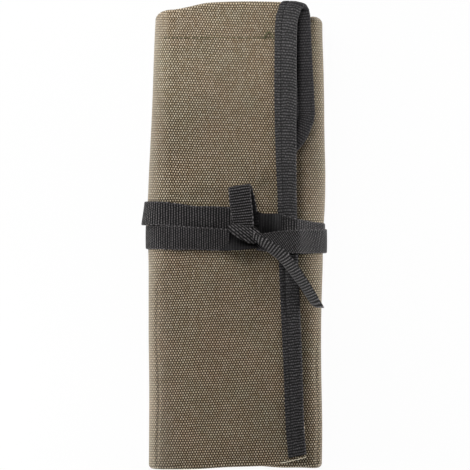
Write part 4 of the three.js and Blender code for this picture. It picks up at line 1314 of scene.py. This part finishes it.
def seen_directly(tree):
    """1 where a camera, mirror or glass ray meets the surface, and 0 where it only sends light on."""
    path = node(tree, "ShaderNodeLightPath", {})
    mirrored = node(
        tree, "ShaderNodeMath", {0: path.outputs["Is Camera Ray"], 1: path.outputs["Is Glossy Ray"]},
        operation="MAXIMUM")
    return node(
        tree, "ShaderNodeMath", {0: mirrored, 1: path.outputs["Is Transmission Ray"]}, operation="MAXIMUM")


def white_table():
    """A matt white board, painted, which the eye sees as plain white."""
    made, tree, shader = finish("white_table_board")
    shader.inputs["Base Color"].default_value = linear("#e6e6e6")
    shader.inputs["Roughness"].default_value = 0.9
    glow = node(tree, "ShaderNodeEmission", {"Color": (1, 1, 1, 1), "Strength": 1})
    share = node(tree, "ShaderNodeMath", {0: seen_directly(tree), 1: 0.97}, operation="MULTIPLY")
    mix = node(tree, "ShaderNodeMixShader", {0: share, 1: shader, 2: glow})
    tree.links.new(mix.outputs[0], tree.nodes["Material Output"].inputs["Surface"])
    return made


def studio_walls():
    """Bright walls low down and a dim ceiling, so that the rounded sides catch more light than the top."""
    world = bpy.data.worlds.new("studio")
    world.use_nodes = True
    tree = world.node_tree
    sky = tree.nodes["Background"]
    sky.inputs["Color"].default_value = (1, 1, 1, 1)
    way = node(tree, "ShaderNodeTexCoord", {})
    height = node(tree, "ShaderNodeSeparateXYZ", {0: way.outputs["Generated"]})
    walls = node(
        tree, "ShaderNodeMapRange",
        {"Value": height.outputs["Z"], "From Min": 0.1, "From Max": 0.8, "To Min": 0.18, "To Max": 0.01})
    light = node(tree, "ShaderNodeMath", {0: seen_directly(tree), 1: walls}, operation="MAXIMUM")
    tree.links.new(light.outputs[0], sky.inputs["Strength"])
    return world


def soft_box(name, place, size, power, aim=(0, 0, 0.03)):
    """A rectangular lamp turned towards the roll."""
    lamp = bpy.data.lights.new(name, "AREA")
    lamp.shape = "RECTANGLE"
    lamp.size, lamp.size_y = size
    lamp.energy = power
    made = bpy.data.objects.new(name, lamp)
    made.location = place
    way = np.array(aim) - np.array(place)
    pitch = math.acos(-way[2] / np.linalg.norm(way))
    made.rotation_euler = (pitch, 0, math.atan2(way[1], way[0]) - math.pi / 2)
    made.visible_camera = False
    bpy.context.scene.collection.objects.link(made)


bpy.ops.mesh.primitive_plane_add(size=8, location=(0, 0, -0.0003))
table = bpy.context.object
table.name = "table"
table.data.materials.append(white_table())
bpy.context.scene.world = studio_walls()
soft_box("key_box", (-0.16, 0.33, 0.25), (0.24, 0.32), 1.76)
soft_box("left_box", (-0.27, -0.14, 0.095), (0.1, 0.26), 0.86)
soft_box("right_box", (0.42, 0.03, 0.028), (0.04, 0.34), 2.95)
soft_box("front_box", (0.1, -0.5, 0.03), (0.3, 0.04), 0.9)

# The photo shows 300.8 mm from side to side at the height of the cover's face
CAMERA_HEIGHT = 2.2
COVER_FACE = 0.031
PHOTO_SIDE = 0.3008
SENSOR = 36

camera_data = bpy.data.cameras.new("photo_camera")
camera_data.sensor_width = SENSOR
camera_data.lens = SENSOR * (CAMERA_HEIGHT - COVER_FACE) / PHOTO_SIDE
camera_data.clip_end = 20
camera = bpy.data.objects.new("photo_camera", camera_data)
camera.location = (0, 0.0002, CAMERA_HEIGHT)
bpy.context.scene.collection.objects.link(camera)
bpy.context.scene.camera = camera
bpy.context.scene.view_settings.view_transform = "Standard"
